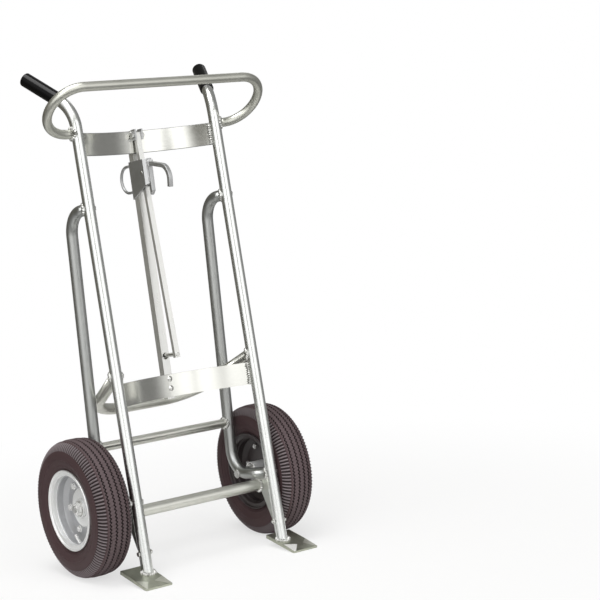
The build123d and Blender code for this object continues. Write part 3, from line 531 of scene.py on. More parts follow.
@dataclass
class Piece:
    """Mesh that becomes one shown object on a body of the frame."""

    name: str
    body: str
    finish: Finish
    slot: str
    replaced: tuple[str, ...] = ()
    smooth: float = 38.0
    mesh: bmesh.types.BMesh = field(default_factory=bmesh.new)

    def lathe(
        self, profile: Sequence[Sequence[float]], steps: int, closed: bool = True, soft: float = 0.0
    ) -> None:
        """Spins a profile of (along X, radius) in millimetres about the X axis.

        Args:
            profile: Corners of the profile.
            steps: Columns of faces round the axis.
            closed: Whether the last corner joins the first.
            soft: Radius that rounds the corners, in millimetres.
        """
        part = bmesh.new()
        verts = [part.verts.new((x * MM, 0, r * MM)) for x, r in profile]
        ends = verts[1:] + verts[:1] if closed else verts[1:]
        for start, end in zip(verts, ends):
            part.edges.new((start, end))
        if soft:
            corners = [vert for vert in part.verts if len(vert.link_edges) == 2]
            bevel(part, corners, soft, segments=4, kind="VERTICES")
        line = part.verts[:] + part.edges[:]
        bmesh.ops.spin(
            part, geom=line, cent=(0, 0, 0), axis=ACROSS, angle=FULL_TURN, steps=steps, use_merge=True
        )
        bmesh.ops.remove_doubles(part, verts=part.verts, dist=SPIN_SEAM)
        bmesh.ops.recalc_face_normals(part, faces=part.faces)
        self.take(part)

    def ring(self, radius: float, thickness: float, section: int = 24, steps: int = 96) -> None:
        """Round ring about the X axis.

        Args:
            radius: Radius of the ring in millimetres.
            thickness: Radius of its section in millimetres.
            section: Columns of faces round the section.
            steps: Columns of faces round the axis.
        """
        turns = [FULL_TURN * index / section for index in range(section)]
        profile = [(thickness * math.cos(turn), radius + thickness * math.sin(turn)) for turn in turns]
        self.lathe(profile, steps)

    def take(self, part: bmesh.types.BMesh) -> None:
        """Adds another mesh to this one and frees it.

        Args:
            part: Mesh to add.
        """
        loose = bpy.data.meshes.new("loose")
        part.to_mesh(loose)
        part.free()
        self.mesh.from_mesh(loose)
        bpy.data.meshes.remove(loose)

    def soften(self, node: str, width: float, angle: float = 28.0) -> None:
        """Adds a merged copy of a node, with its sharp edges rounded.

        Args:
            node: Name of the node.
            width: Width of the rounding in millimetres, or 0 for none.
            angle: Smallest turn of an edge that is rounded, in degrees.
        """
        part = bmesh.new()
        part.from_mesh(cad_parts[node].data)
        bmesh.ops.remove_doubles(part, verts=part.verts, dist=NODE_SEAM)
        self.take(part)
        if width:
            self.round_edges(width, angle)

    def round_edges(self, width: float, angle: float) -> None:
        """Rounds every sharp edge of the mesh.

        Args:
            width: Width of the rounding in millimetres.
            angle: Smallest turn of an edge that is rounded, in degrees.
        """
        bmesh.ops.dissolve_limit(
            self.mesh, angle_limit=FLAT_TURN, verts=self.mesh.verts, edges=self.mesh.edges
        )
        sharp = [
            edge for edge in self.mesh.edges
            if len(edge.link_faces) == 2 and edge.calc_face_angle(0.0) > math.radians(angle)
        ]
        bevel(self.mesh, sharp, width, segments=2, kind="EDGES")

    def show(self) -> bpy.types.Object:
        """Turns the mesh into an object on its body.

        Returns:
            The finished object.
        """
        data = bpy.data.meshes.new(self.name)
        self.mesh.to_mesh(data)
        self.mesh.free()
        data.materials.append(material(self.finish))
        data.shade_smooth()
        data.set_sharp_from_angle(angle=math.radians(self.smooth))
        made = add(self.name, data)
        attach(made, self.body)
        if self.replaced:
            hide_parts(*self.replaced)
        log.info("%s: %d faces on %s", self.name, len(data.polygons), self.body)
        return made


@dataclass(frozen=True)
class Skin:
    """Softened copy that stands for one node."""

    node: str
    finish: Finish
    slot: str
    width: float = 0.0
    body: str = "frame"
    edge: Finish | None = None
    edge_slope: float = 0.3

    def dress(self) -> None:
        """Builds and shows the copy, with painted shade on its upper and lower edges where an edge finish is
        given.
        """
        piece = Piece(f"{self.node}.skin", self.body, self.finish, self.slot, (self.node,))
        piece.soften(self.node, self.width)
        shown = piece.show()
        if self.width:
            flatten(shown)
        # The edge finish paints shade on the upper and lower edges.
        if self.edge is not None:
            shown.data.materials.append(material(self.edge))
            for face in shown.data.polygons:
                face.material_index = int(abs(face.normal.dot(RAIL_UP)) > self.edge_slope)


@dataclass(frozen=True)
class ToePlate:
    """Toe plate whose front corners are ground to facets.

    Places are in millimetres from the middle of the post: outwards, back, and up from TOE_TOP. Each facet
    is given by its edge of the plate, where it starts along that edge and how far it reaches over the top.
    """

    side: Side
    top: float = -0.62
    bevel_back: float = -54.1
    tip_back: float = -90.1
    tip_up: float = -3.3
    facets: tuple[Point, ...] = ((-23.0, -36.0, 13.0), (61.0, -30.0, 34.0))
    edge_width: float = 0.8
    edge_turn: float = 12.0
    same_way: float = 0.9997

    @property
    def finishes(self) -> tuple[Finish, Finish]:
        """Finishes of the two facets; the inner one of the right toe is near white, a painted highlight."""
        return (GLINT_FACET if self.side is Side.RIGHT else FACET, FACET)

    def point(self, out: float, back: float, up: float) -> Vector:
        """Point on the plate."""
        foot = Vector((self.side.value * POST_X, FOOT_Y, TOE_TOP))
        return foot + (ACROSS * self.side.value * out + TOE_BACK * back + TOE_UP * up) * MM

    def dress(self) -> None:
        """Cuts the corners from a copy of the plate and rounds its edges."""
        node = f"{self.side.prefix}toe_plate"
        piece = Piece(f"{node}.ground", "frame", TOE, "toe_steel", (node,))
        piece.soften(node, 0.0)
        ways = [self._grind(piece.mesh, *facet) for facet in self.facets]
        piece.round_edges(self.edge_width, self.edge_turn)
        shown = piece.show()
        flatten(shown)
        for finish in self.finishes:
            shown.data.materials.append(material(finish))
        for face in shown.data.polygons:
            for index, way in enumerate(ways, start=1):
                if face.normal.dot(way) > self.same_way:
                    face.material_index = index

    def _grind(self, mesh: bmesh.types.BMesh, edge: float, start: float, reach: float) -> Vector:
        """Cuts off what lies above the plane of one facet.

        Args:
            mesh: Mesh of the plate.
            edge: Place of the edge, outwards.
            start: Place on the edge where the facet starts.
            reach: Place outwards that the facet reaches where the top begins to fall.

        Returns:
            Direction in which the new facet looks.
        """
        first = self.point(edge, start, self.top)
        second = self.point(reach, self.bevel_back, self.top)
        third = self.point(edge, self.tip_back, self.tip_up)
        up = (second - first).cross(third - first).normalized()
        if up.z < 0:
            up.negate()
        everything = mesh.verts[:] + mesh.edges[:] + mesh.faces[:]
        bmesh.ops.bisect_plane(mesh, geom=everything, plane_co=first, plane_no=up, clear_outer=True)
        bmesh.ops.holes_fill(mesh, edges=mesh.edges, sides=0)
        return up


# Weld beads
@dataclass(frozen=True)
class Bead:
    """Weld bead along a path, laid down in overlapping drops; width, pitch and sway in millimetres."""

    path: tuple[Vector, ...]
    width: float
    closed: bool = True
    pitch: float = 6.0
    steps_per_drop: int = 8
    swell: float = 0.24
    wander: float = 0.34
    wander_scale: float = 130.0
    wander_step: float = 7.3
    sway: float = 0.5
    sway_scale: float = 190.0
    tail: float = 0.55
    tail_growth: float = 0.2

    def lay(self, curve: bpy.types.Curve, number: int) -> None:
        """Adds the bead to a curve, with one swelling for each drop and thin tails on an open bead.

        Args:
            curve: Curve that takes the bead.
            number: Number of the bead, which gives it wander and sway of its own.
        """
        points, lengths = self._fine()
        spline = curve.splines.new("POLY")
        spline.points.add(len(points) - 1)
        spline.use_cyclic_u = self.closed
        spline.use_smooth = True
        for index, (point, place) in enumerate(zip(points, lengths)):
            drop = math.sin(FULL_TURN * place / (self.pitch * MM))
            wander = noise.noise(Vector((place * self.wander_scale, number * self.wander_step, 0.5)))
            sway = noise.noise_vector(point * self.sway_scale + ACROSS * number) * self.sway * MM
            from_end = min(index, len(points) - 1 - index)
            end = 1.0 if self.closed else min(1.0, self.tail + self.tail_growth * from_end)
            spline.points[index].co = (*(point + sway), 1.0)
            spline.points[index].radius = self.width * MM * end * (
                1.0 + self.swell * drop + self.wander * wander
            )

    def _fine(self) -> tuple[list[Vector], list[float]]:
        """Cuts the path into short steps.

        Returns:
            Points of the path and the distance along it at each.
        """
        step = self.pitch * MM / self.steps_per_drop
        corners = list(self.path) + ([self.path[0]] if self.closed else [])
        points, lengths, total = [corners[0]], [0.0], 0.0
        for start, end in zip(corners, corners[1:]):
            span = (end - start).length
            count = max(1, round(span / step))
            for part in range(1, count + 1):
                points.append(start.lerp(end, part / count))
                lengths.append(total + span * part / count)
            total += span
        return (points[:-1], lengths[:-1]) if self.closed else (points, lengths)


def upright(forward: float, downs: Span, x: float, width: float, pitch: float = Bead.pitch) -> Bead:
    """Straight bead along the rail's direction, by places in millimetres."""
    return Bead(tuple(rail_point(forward, down, x) for down in downs), width, closed=False, pitch=pitch)


def circle(centre: Vector, normal: Vector, radius: float, count: int = 40) -> tuple[Vector, ...]:
    """Circle round an axis.

    Args:
        centre: Middle of the circle.
        normal: Direction of the axis.
        radius: Radius of the circle.
        count: Number of points.

    Returns:
        Points round the circle.
    """
    first = normal.orthogonal().normalized()
    second = normal.normalized().cross(first)
    turns = [FULL_TURN * index / count for index in range(count)]
    return tuple(centre + (first * math.cos(turn) + second * math.sin(turn)) * radius for turn in turns)


def saddle(
    centre: Vector, out: Vector, radius: float, along: Vector, count: int = 64, clearance: float = 1.04
) -> tuple[Vector, ...]:
    """Line where a pipe meets the full-size pipe that it is coped to.

    Args:
        centre: Point where the two axes meet.
        out: Direction in which the coped pipe leaves.
        radius: Radius of the coped pipe.
        along: Direction of the other pipe.
        count: Number of points.
        clearance: Share of the radius at which the line runs round the coped pipe.

    Returns:
        Points round the joint.
    """
    out, along = out.normalized(), along.normalized()
    first = (along - out * along.dot(out)).normalized()
    second = out.cross(first)
    flat = out - along * out.dot(along)
    points = []
    for index in range(count):
        turn = FULL_TURN * index / count
        around = (first * math.cos(turn) + second * math.sin(turn)) * radius
        side = around - along * around.dot(along)
        half = flat.dot(side) / flat.length_squared
        root = half * half - (side.length_squared - PIPE_R * PIPE_R) / flat.length_squared
        points.append(centre + around * clearance + out * (math.sqrt(max(root, 0.0)) - half))
    return tuple(points)


@dataclass(frozen=True)
class WeldSet:
    """Beads of one body, kept as one object; the seed settles how they sway."""

    name: str
    body: str
    finish: Finish
    slot: str
    beads: tuple[Bead, ...]
    seed: int = 1

    def dress(self) -> None:
        """Lays all beads and shows them as one mesh."""
        curve = bpy.data.curves.new(f"{self.name}.path", "CURVE")
        curve.dimensions = "3D"
        curve.bevel_depth = 1.0
        curve.bevel_resolution = 2
        curve.use_fill_caps = True
        noise.seed_set(self.seed)
        for number, bead in enumerate(self.beads):
            bead.lay(curve, number)
        carrier = add(f"{self.name}.path", curve)
        bpy.context.view_layer.update()
        solid = carrier.evaluated_get(bpy.context.evaluated_depsgraph_get())
        data = bpy.data.meshes.new_from_object(solid)
        piece = Piece(self.name, self.body, self.finish, self.slot, smooth=80.0)
        piece.mesh.from_mesh(data)
        bpy.data.objects.remove(carrier)
        bpy.data.curves.remove(curve)
        bpy.data.meshes.remove(data)
        piece.show()


# Wheels
@dataclass(frozen=True)
class Arc:
    """Round stretch of an outline, in millimetres and in degrees up from the X axis."""

    centre: Span
    radius: float
    first: float
    last: float
    count: int

    def points(self) -> Iterable[tuple[float, float]]:
        """Points spaced evenly from the first angle to the last.

        Returns:
            Places along X and radii.
        """
        x, radius = self.centre
        for index in range(self.count):
            turn = math.radians(self.first + (self.last - self.first) * index / (self.count - 1))
            yield (x + self.radius * math.cos(turn), radius + self.radius * math.sin(turn))


@dataclass(frozen=True)
class Tread:
    """Block pattern of a tyre, in millimetres."""

    radius: float = 200.0
    crown_fall: float = 0.0035
    half_width: float = 36.0
    pitches: int = 118
    pitch_columns: int = 6
    groove_places: tuple[float, ...] = (-26.5, -9.0, 9.0, 26.5)
    groove_width: float = 5.4
    groove_depth: float = 5.0
    groove_slope: float = 0.5
    sway: float = 2.7
    sway_half_width: float = 35.5
    sway_least_radius: float = 190.0
    tooth_depth: float = 4.4
    tooth_span: Span = (36.5, 54.2)
    tooth_least_radius: float = 171.5
    tooth_inward: float = 0.5
    rib_highlight: float = 0.24

    @property
    def columns(self) -> int:
        """Columns of faces round the tyre."""
        return self.pitches * self.pitch_columns

    def crown(self, x: float) -> float:
        """Radius of the running surface at a place across it."""
        return self.radius - self.crown_fall * x * x

    def profile(self) -> list[tuple[float, float]]:
        """Tread outline across the grooves, from one shoulder to the other.

        Returns:
            Places along X and radii.
        """
        half = self.groove_width / 2
        floor = half - self.groove_slope
        shoulder = self.crown(self.half_width)
        line = [(-self.half_width, shoulder)]
        for place in self.groove_places:
            top = self.crown(place)
            bottom = top - self.groove_depth
            line += [
                (place - half, top), (place - floor, bottom),
                (place + floor, bottom), (place + half, top),
            ]
        return line + [(self.half_width, shoulder)]

    def carve(self, mesh: bmesh.types.BMesh) -> None:
        """Sways the grooves, cuts the shoulder teeth and marks painted shade where the surface lies deep and
        a painted highlight where it stands out.

        Args:
            mesh: Spun tyre on the X axis.
        """
        painted_shade = mesh.verts.layers.float.new(SHADE_MARK)
        painted_highlight = mesh.verts.layers.float.new(HIGHLIGHT_MARK)
        inner_tooth, outer_tooth = self.tooth_span
        for vert in mesh.verts:
            x, y, z = vert.co
            across, radius = abs(x) / MM, math.hypot(y, z)
            column = round(math.atan2(y, z) / FULL_TURN * self.columns) % self.pitch_columns
            phase = column / self.pitch_columns
            if radius > self.sway_least_radius * MM and across < self.sway_half_width:
                deep = radius < (self.crown(x / MM) - self.groove_depth / 2) * MM
                # Groove floors get painted shade and the ribs between them a faint painted highlight.
                vert[painted_shade] = float(deep)
                vert[painted_highlight] = 0.0 if deep else self.rib_highlight
                vert.co.x += self.sway * MM * (abs(4 * phase - 2) - 1)
            if inner_tooth < across < outer_tooth and radius > self.tooth_least_radius * MM:
                wave = (1 - math.cos(FULL_TURN * phase)) / 2
                # Gaps between the shoulder teeth get painted shade and the tooth tops a painted highlight.
                vert[painted_shade] = wave
                vert[painted_highlight] = 1 - wave
                depth = self.tooth_depth * MM * wave
                vert.co.y -= y / radius * depth
                vert.co.z -= z / radius * depth
                vert.co.x -= math.copysign(depth * self.tooth_inward, x)


@dataclass(frozen=True)
class Wheel:
    """Pneumatic wheel with a bolted two-piece rim; outlines are places outwards and radii in millimetres."""

    side: Side
    centre: Point = (0.315, 0.04005, 0.2)
    tread: Tread = Tread()
    shoulder: Arc = Arc((20.4, 166.2), 33.9, 57.8, 12.6, 8)
    upper_wall: Arc = Arc((0.8, 155.3), 56.3, 17.7, -4.4, 5)
    wall_ring: Outline = ((56.9, 149.0), (57.4, 148.4), (57.2, 147.0))
    lower_wall: Arc = Arc((4.6, 153.2), 52.0, -7.5, -26.9, 4)
    rim_guard: Outline = ((51.2, 128.4), (50.2, 127.0), (48.6, 124.6), (46.4, 121.0), (45.0, 118.0))
    bead_seat: Outline = ((43.3, 115.7), (43.2, 109.0), (43.0, 103.4), (41.0, 102.8), (33.0, 102.8))
    liner: Outline = (
        (32.6, 113.0), (38.0, 126.0), (44.0, 142.0), (46.0, 157.0),
        (43.0, 172.0), (36.0, 182.0), (20.0, 187.5),
    )
    rim_bore: float = 27.1
    rim_back: Outline = ((0.05, 84.0), (11.0, 102.5), (43.4, 102.5), (43.4, 115.5))
    rim_lip: Outline = ((49.0, 117.4), (52.0, 115.5), (51.0, 112.4), (46.6, 112.0))
    rim_well: Outline = ((46.0, 100.8), (33.6, 100.8), (31.8, 98.6), (12.25, 98.6), (2.55, 82.75))
    rim_boss: Outline = ((2.55, 58.0), (7.6, 53.0))
    rim_round: float = 1.1
    rim_columns: int = 128
    # Band of radii on the outer rim that gets painted shade.
    dish: Span = (57.0, 100.2)
    tube_radius: float = 147.0
    tube_thickness: float = 39.0
    stem: Outline = ((0.0, 0.0), (0.0, 6.4), (5.0, 5.6), (9.0, 4.2), (20.0, 4.0), (20.0, 4.7), (23.5, 4.7))
    thread_start: float = 24.0
    thread_radius: float = 3.6
    thread_height: float = 0.45
    thread_steps: int = 6
    stem_end: Outline = ((30.0, 3.2), (30.0, 0.0))
    stem_place: Point = (22.0, 0.0, -100.0)
    stem_slant: float = 24.0
    stem_columns: int = 24
    bolts: int = 6
    bolt_circle: float = 72.0
    bolt_turn: float = 7.0
    washer: Outline = ((2.6, 5.4), (2.6, 10.4), (3.9, 10.4), (4.3, 9.6), (4.3, 5.4))
    washer_columns: int = 32

    @property
    def body(self) -> str:
        """Body the wheel turns with."""
        return f"{self.side.prefix}wheel"

    @property
    def placing(self) -> Matrix:
        """From outward places on the axle to the frame, mirrored on the left."""
        x, y, z = self.centre
        return Matrix.Translation((self.side.value * x, y, z)) @ Matrix.Scale(self.side.value, 4, ACROSS)

    def piece(self, name: str, finish: Finish, slot: str, *replaced: str) -> Piece:
        """New piece of this wheel."""
        nodes = tuple(self.side.prefix + node for node in replaced)
        return Piece(f"{self.side.prefix}{name}", self.body, finish, slot, nodes)

    def put(self, piece: Piece) -> bpy.types.Object:
        """Moves a piece from the X axis to the wheel's place and shows it."""
        move(piece.mesh, self.placing)
        return piece.show()

    def dress(self) -> None:
        """Builds every part of the wheel."""
        self._tyre()
        self._rims()
        self._tube()
        self._valve()
        self._washers()
        self._fittings()

    def _tyre(self) -> None:
        """Tyre with ribs, shoulder teeth and side wall rings."""
        half = [
            *self.shoulder.points(), *self.upper_wall.points(), *self.wall_ring, *self.lower_wall.points(),
            *self.rim_guard, *self.bead_seat, *self.liner,
        ]
        mirrored = [(-x, radius) for x, radius in reversed(half)]
        tyre = self.piece("tyre.ribbed", TYRE, "tyre_rubber", "tyre")
        tyre.lathe(self.tread.profile() + half + mirrored, self.tread.columns)
        self.tread.carve(tyre.mesh)
        self.put(tyre)

    def _rims(self) -> None:
        """Pressed rim halves with a rolled edge; the outer one has a bright boss, with painted shade on its
        dish.
        """
        shell = [(self.rim_back[0][0], self.rim_bore), *self.rim_back, *self.rim_lip, *self.rim_well]
        boss = [*self.rim_boss, (self.rim_boss[-1][0], self.rim_bore)]
        outer = self.piece("rim_outer.pressed", BRIGHT, "rim_zinc", "rim_outer")
        outer.lathe(shell + boss, self.rim_columns, soft=self.rim_round)
        shown = self.put(outer)
        # Faces within the dish band get the grey copy, a painted shade.
        shown.data.materials.append(material(DISH_SHADE))
        least, most = self.dish
        for face in shown.data.polygons:
            offset = face.center - self.placing.translation
            face.material_index = int(least < math.hypot(offset.y, offset.z) / MM < most)
        plain = [*shell, (self.rim_well[-1][0], self.rim_bore)]
        inner = self.piece("rim_inner.pressed", BLACK, "rim_black", "rim_inner")
        inner.lathe([(-x, radius) for x, radius in plain], self.rim_columns, soft=self.rim_round)
        self.put(inner)

    def _tube(self) -> None:
        """Inner tube in the tyre."""
        tube = self.piece("inner_tube.round", TUBE_RUBBER, "tube_rubber", "inner_tube")
        tube.ring(self.tube_radius, self.tube_thickness)
        self.put(tube)

    def _valve(self) -> None:
        """Threaded valve stem, which slants out of the rim well."""
        stem = self.piece("valve", STUD, "zinc_fasteners")
        thread = [
            (self.thread_start + step, self.thread_radius + self.thread_height * (step % 2))
            for step in range(self.thread_steps)
        ]
        stem.lathe([*self.stem, *thread, *self.stem_end], self.stem_columns, closed=False)
        slant = Matrix.Rotation(math.radians(self.stem_slant - 90), 4, "Y")
        move(stem.mesh, Matrix.Translation(Vector(self.stem_place) * MM) @ slant)
        self.put(stem)

    def _washers(self) -> None:
        """Round washers under the heads of the rim bolts."""
        washers = self.piece("rim_washers", STUD, "zinc_fasteners")
        for number in range(self.bolts):
            angle = self.side.value * self.bolt_turn + 360 / self.bolts * number
            turn = Matrix.Rotation(math.radians(angle), 4, "X")
            disc = self.piece("washer", STUD, "zinc_fasteners")
            disc.lathe(self.washer, self.washer_columns)
            move(disc.mesh, turn @ Matrix.Translation((0, self.bolt_circle * MM, 0)))
            washers.take(disc.mesh)
        self.put(washers)

    def _fittings(self) -> None:
        """Hub, bearings and bolts."""
        for node, finish, slot, width in (
            ("hub", BRIGHT, "axle_steel", 1.2),
            ("bearings", FASTENER, "axle_steel", 0.6),
            ("rim_bolts", STUD, "zinc_fasteners", 0.5),
            ("rim_nuts", FASTENER, "zinc_fasteners", 0.5),
        ):
            Skin(self.side.prefix + node, finish, slot, width, self.body).dress()


# Frame
@dataclass(frozen=True)
class TruckFrame:
    """Posts, runners, straps, toes and rail with their welds.

    Joints are places in metres, as (y, z) where they lie on a post's line. A strap is given by its bow and
    its place down the rail; straps, rail welds and the widths of beads are in millimetres.
    """

    loop_joint: Span = (0.0396, 1.2615)
    runner_top: Span = (0.0051, 1.0503)
    runner_foot: Span = (-0.1189, 0.2214)
    runner_rise: Span = (0.0362, 0.842)
    cross_joint: Span = (0.0912, 0.351)
    brace_joint: Span = (-0.0655, 0.5784)
    brace_way: Point = (-0.186, 0.867, -0.463)
    brace_touch: Point = (0.2165, 0.0985, 0.4885)
    brace_half: float = 0.0075
    brace_bead: float = 0.012
    lower_cross: Point = (POST_X - 0.003, -0.04995, 0.1761)
    lower_cross_ring: float = PIPE_R + 0.0015
    axle_seat: Point = (0.2158, 0.04005, 0.2)
    axle_ring: float = 0.0112
    foot_ring: float = 1.06
    gusset_half: float = 0.0042
    gusset_edge: float = 0.0172
    gusset_post: Span = (0.066, 0.2035)
    gusset_run: Span = (0.02, 0.0765)
    gusset_bead: float = 2.6
    upper_strap: Span = (77.0, 18.0)
    lower_strap: Span = (102.0, 739.57)
    strap_thickness: float = 6.0
    strap_height: float = 66.0
    strap_bead: float = 8.0
    strap_drop: float = 6.6
    strap_margin: float = 1.5
    strap_overlap: float = 1.8
    strap_clear: float = 150.0
    halvings: int = 30
    rail_face: float = -0.8
    rail_side: float = 13.4
    rail_weld: Span = (-14.0, 50.0)
    lug_face: float = 7.0
    lug_side: float = 14.2
    lug_weld: Span = (-16.0, 10.0)
    lug_foot: Span = (6.2, 13.0)
    lug_half: float = 13.0

    def dress(self) -> None:
        """Dresses every node of the frame and lays the welds."""
        for skin in self._skins():
            skin.dress()
        WeldSet("frame_welds", "frame", WELD, "frame_aluminium", tuple(self._beads())).dress()

    def _skins(self) -> Iterable[Skin | ToePlate]:
        """Copies that stand for the nodes.

        Returns:
            The copies, side by side and then the middle.
        """
        for side in Side:
            prefix = side.prefix
            yield ToePlate(side)
            yield Skin(prefix + "post", TUBE, "frame_aluminium")
            yield Skin(prefix + "rear_runner", RUNNER_PAINTED_SHADE, "frame_aluminium")
            yield Skin(prefix + "grip", GRIP, "grip_vinyl", 1.6)
            yield Skin(prefix + "gusset", PLATE, "frame_aluminium", 0.6)
            yield Skin(prefix + "toe_spigot", TOE, "toe_steel")
            yield Skin(prefix + "axle", TURNED, "axle_steel", 1.0)
            yield Skin(prefix + "axle_collar", TURNED, "axle_steel", 0.8)
        yield Skin("handle_loop", LOOP_PAINTED_SHADE, "frame_aluminium")
        for node in ("rear_cross_tube", "lower_cross_tube", "cradle_brace"):
            yield Skin(node, CROSS, "frame_aluminium")
        for node in ("upper_cradle_strap", "lower_cradle_strap"):
            yield Skin(node, STRAP, "frame_aluminium", 1.5, edge=STRAP_EDGE_SHADE)
        yield Skin("hook_rail", RAIL, "slider_steel", 1.6)
        yield Skin("pivot_lug", ZINC, "frame_aluminium", 1.0)
        for node in ("toe_bolts", "toe_nuts", "rail_bolts", "rail_nuts", "pivot_bolt", "pivot_nut"):
            yield Skin(node, FASTENER, "zinc_fasteners", 0.5)
        yield Skin("axle_washers", STUD, "zinc_fasteners", 0.5)
        yield Skin("axle_nuts", STUD, "zinc_fasteners", 0.9)

    def _beads(self) -> Iterable[Bead]:
        """Welds of the frame.

        Returns:
            The beads of each side and then those of the rail.
        """
        for side in Side:
            yield from self._pipe_beads(side)
            yield self._toe_bead(side)
            yield from self._gusset_beads(side)
            yield from self._strap_beads(side)
        for x in (-self.rail_side, self.rail_side):
            yield upright(self.rail_face, self.rail_weld, x, width=3.2)
        for x in (-self.lug_side, self.lug_side):
            yield upright(self.lug_face, self.lug_weld, x, width=3.6)
        foot = tuple(rail_point(*self.lug_foot, x) for x in (-self.lug_half, self.lug_half))
        yield Bead(foot, width=1.6, closed=False)

    def _pipe_beads(self, side: Side) -> Iterable[Bead]:
        """Rings where pipes meet pipes.

        Args:
            side: Side of the truck.

        Returns:
            The beads of the loop, runner, cross tubes, brace and axle.
        """
        out = ACROSS * side.value
        runner_up = Vector((0, *self.runner_rise))
        leg = self._mirrored(side, self.brace_way)
        for joint, way, radius, along, width in (
            (self.loop_joint, out, SLIM_R, POST_UP, 5.8),
            (self.runner_top, RUN_BACK, PIPE_R, POST_UP, 5.0),
            (self.runner_foot, RUN_BACK, PIPE_R, POST_UP, 5.0),
            (self.cross_joint, -out, SLIM_R, runner_up, 5.4),
            (self.brace_joint, leg, PIPE_R, POST_UP, 4.8),
        ):
            yield Bead(saddle(Vector((side.value * POST_X, *joint)), way, radius, along), width)
        rise = runner_up.normalized() * self.brace_bead
        for shift in (-1, 1):
            touch = self._mirrored(side, self.brace_touch) + leg * shift * self.brace_half
            yield Bead((touch - rise, touch + rise), width=4.2, closed=False)
        yield Bead(circle(self._mirrored(side, self.lower_cross), ACROSS, self.lower_cross_ring), width=4.8)
        yield Bead(circle(self._mirrored(side, self.axle_seat), ACROSS, self.axle_ring), width=2.6)

    @staticmethod
    def _mirrored(side: Side, place: Point) -> Vector:
        """Place or direction of the right side, mirrored for the left."""
        return Vector((side.value * place[0], *place[1:]))

    def _toe_bead(self, side: Side) -> Bead:
        """Ring round the foot of a post on its toe plate.

        Args:
            side: Side of the truck.

        Returns:
            The bead.
        """
        foot = Vector((side.value * POST_X, FOOT_Y, TOE_TOP))
        ring = circle(Vector(), POST_UP, PIPE_R * self.foot_ring)
        slope = POST_UP.dot(TOE_UP)
        path = tuple(foot + spot - POST_UP * (spot.dot(TOE_UP) / slope) for spot in ring)
        return Bead(path, width=5.2)

    def _gusset_beads(self, side: Side) -> Iterable[Bead]:
        """Lines along both edges of a gusset, on both of its faces.

        Args:
            side: Side of the truck.

        Returns:
            The beads along the post and along the lower run.
        """
        inner = Vector((side.value * POST_X, *self.runner_foot))
        for face in (-1, 1):
            across = ACROSS * face * self.gusset_half
            behind = RUN_BACK * self.gusset_edge + across
            below = POST_UP * -self.gusset_edge + across
            along_post = tuple(post_point(side, along) + behind for along in self.gusset_post)
            along_run = tuple(inner + RUN_BACK * along + below for along in self.gusset_run)
            yield Bead(along_post, self.gusset_bead, closed=False)
            yield Bead(along_run, self.gusset_bead, closed=False)

    def _strap_beads(self, side: Side) -> Iterable[Bead]:
        """Upright beads before and behind the ends of the straps.

        Args:
            side: Side of the truck.

        Returns:
            The beads of the upper and then of the lower strap.
        """
        half = self.strap_height / 2 - self.strap_margin
        for bow, down in (self.upper_strap, self.lower_strap):
            front = ((POST_X / MM) ** 2 + bow * bow) / (2 * bow)
            middle = front + self.strap_thickness
            for radius in (front, middle):
                x = self._meet(middle, radius, bow)
                forward = middle - math.sqrt(radius * radius - x * x)
                place = side.value * (x - self.strap_overlap)
                yield upright(forward, (down - half, down + half), place, self.strap_bead, self.strap_drop)

    def _meet(self, middle: float, radius: float, bow: float) -> float:
        """Finds where a face of a strap enters its post, by halving the stretch that holds the place.

        Args:
            middle: Distance of the strap's centre of curvature before the rail.
            radius: Radius of the face.
            bow: Depth of the strap's bow.

        Returns:
            Place across the truck in millimetres.
        """
        low, high = self.strap_clear, POST_X / MM
        for _ in range(self.halvings):
            x = (low + high) / 2
            forward = middle - math.sqrt(radius * radius - x * x)
            reach = math.hypot(x - POST_X / MM, forward - bow - self.strap_thickness)
            low, high = (x, high) if reach > PIPE_R / MM else (low, x)
        return low


# Hook slider and lock rod
@dataclass(frozen=True)
class HookSlider:
    """Sliding chime hook with its pull and the lock rod that hangs in front of the rail, in millimetres."""

    pull_face: float = -29.2
    pull_downs: Span = (83.0, 160.5)
    pull_ring: float = 5.4
    hook_face: float = 68.1
    hook_half: float = 7.0
    hook_downs: Span = (80.5, 94.5)
    shank_face: float = 61.6
    shank_half: float = 7.2
    shank_downs: Span = (75.0, 142.0)
    drop: float = 2.6
    shank_drop: float = 2.8

    def dress(self) -> None:
        """Dresses the slider and the rod."""
        for node, finish, width in (
            ("slider_bracket", ZINC, 0.8),
            ("hook_shank", ZINC, 1.2),
            ("chime_hook", ZINC, 1.4),
            ("slider_handle", ZINC, 0.0),
            ("slider_pin", FASTENER, 0.9),
        ):
            Skin(node, finish, "slider_steel", width, "hook_slider").dress()
        Skin("lock_rod", RAIL, "slider_steel", 1.0, "lock_rod").dress()
        Skin("guide_pin", FASTENER, "slider_steel", 0.8, "lock_rod").dress()
        WeldSet("slider_welds", "hook_slider", ZINC_WELD, "slider_steel", tuple(self._beads())).dress()

    def _beads(self) -> Iterable[Bead]:
        """Welds of the slider.

        Returns:
            The beads of the pull, the hook and the shank.
        """
        for down in self.pull_downs:
            ring = circle(rail_point(self.pull_face, down), RAIL_BACK, self.pull_ring * MM, count=24)
            yield Bead(ring, width=2.2, pitch=self.drop)
        top, bottom = self.hook_downs
        hook = ((-1, top), (1, top), (1, bottom), (-1, bottom))
        corners = tuple(rail_point(self.hook_face, down, side * self.hook_half) for side, down in hook)
        yield Bead(corners, width=2.0, pitch=self.drop)
        for x in (-self.shank_half, self.shank_half):
            yield upright(self.shank_face, self.shank_downs, x, width=2.2, pitch=self.shank_drop)


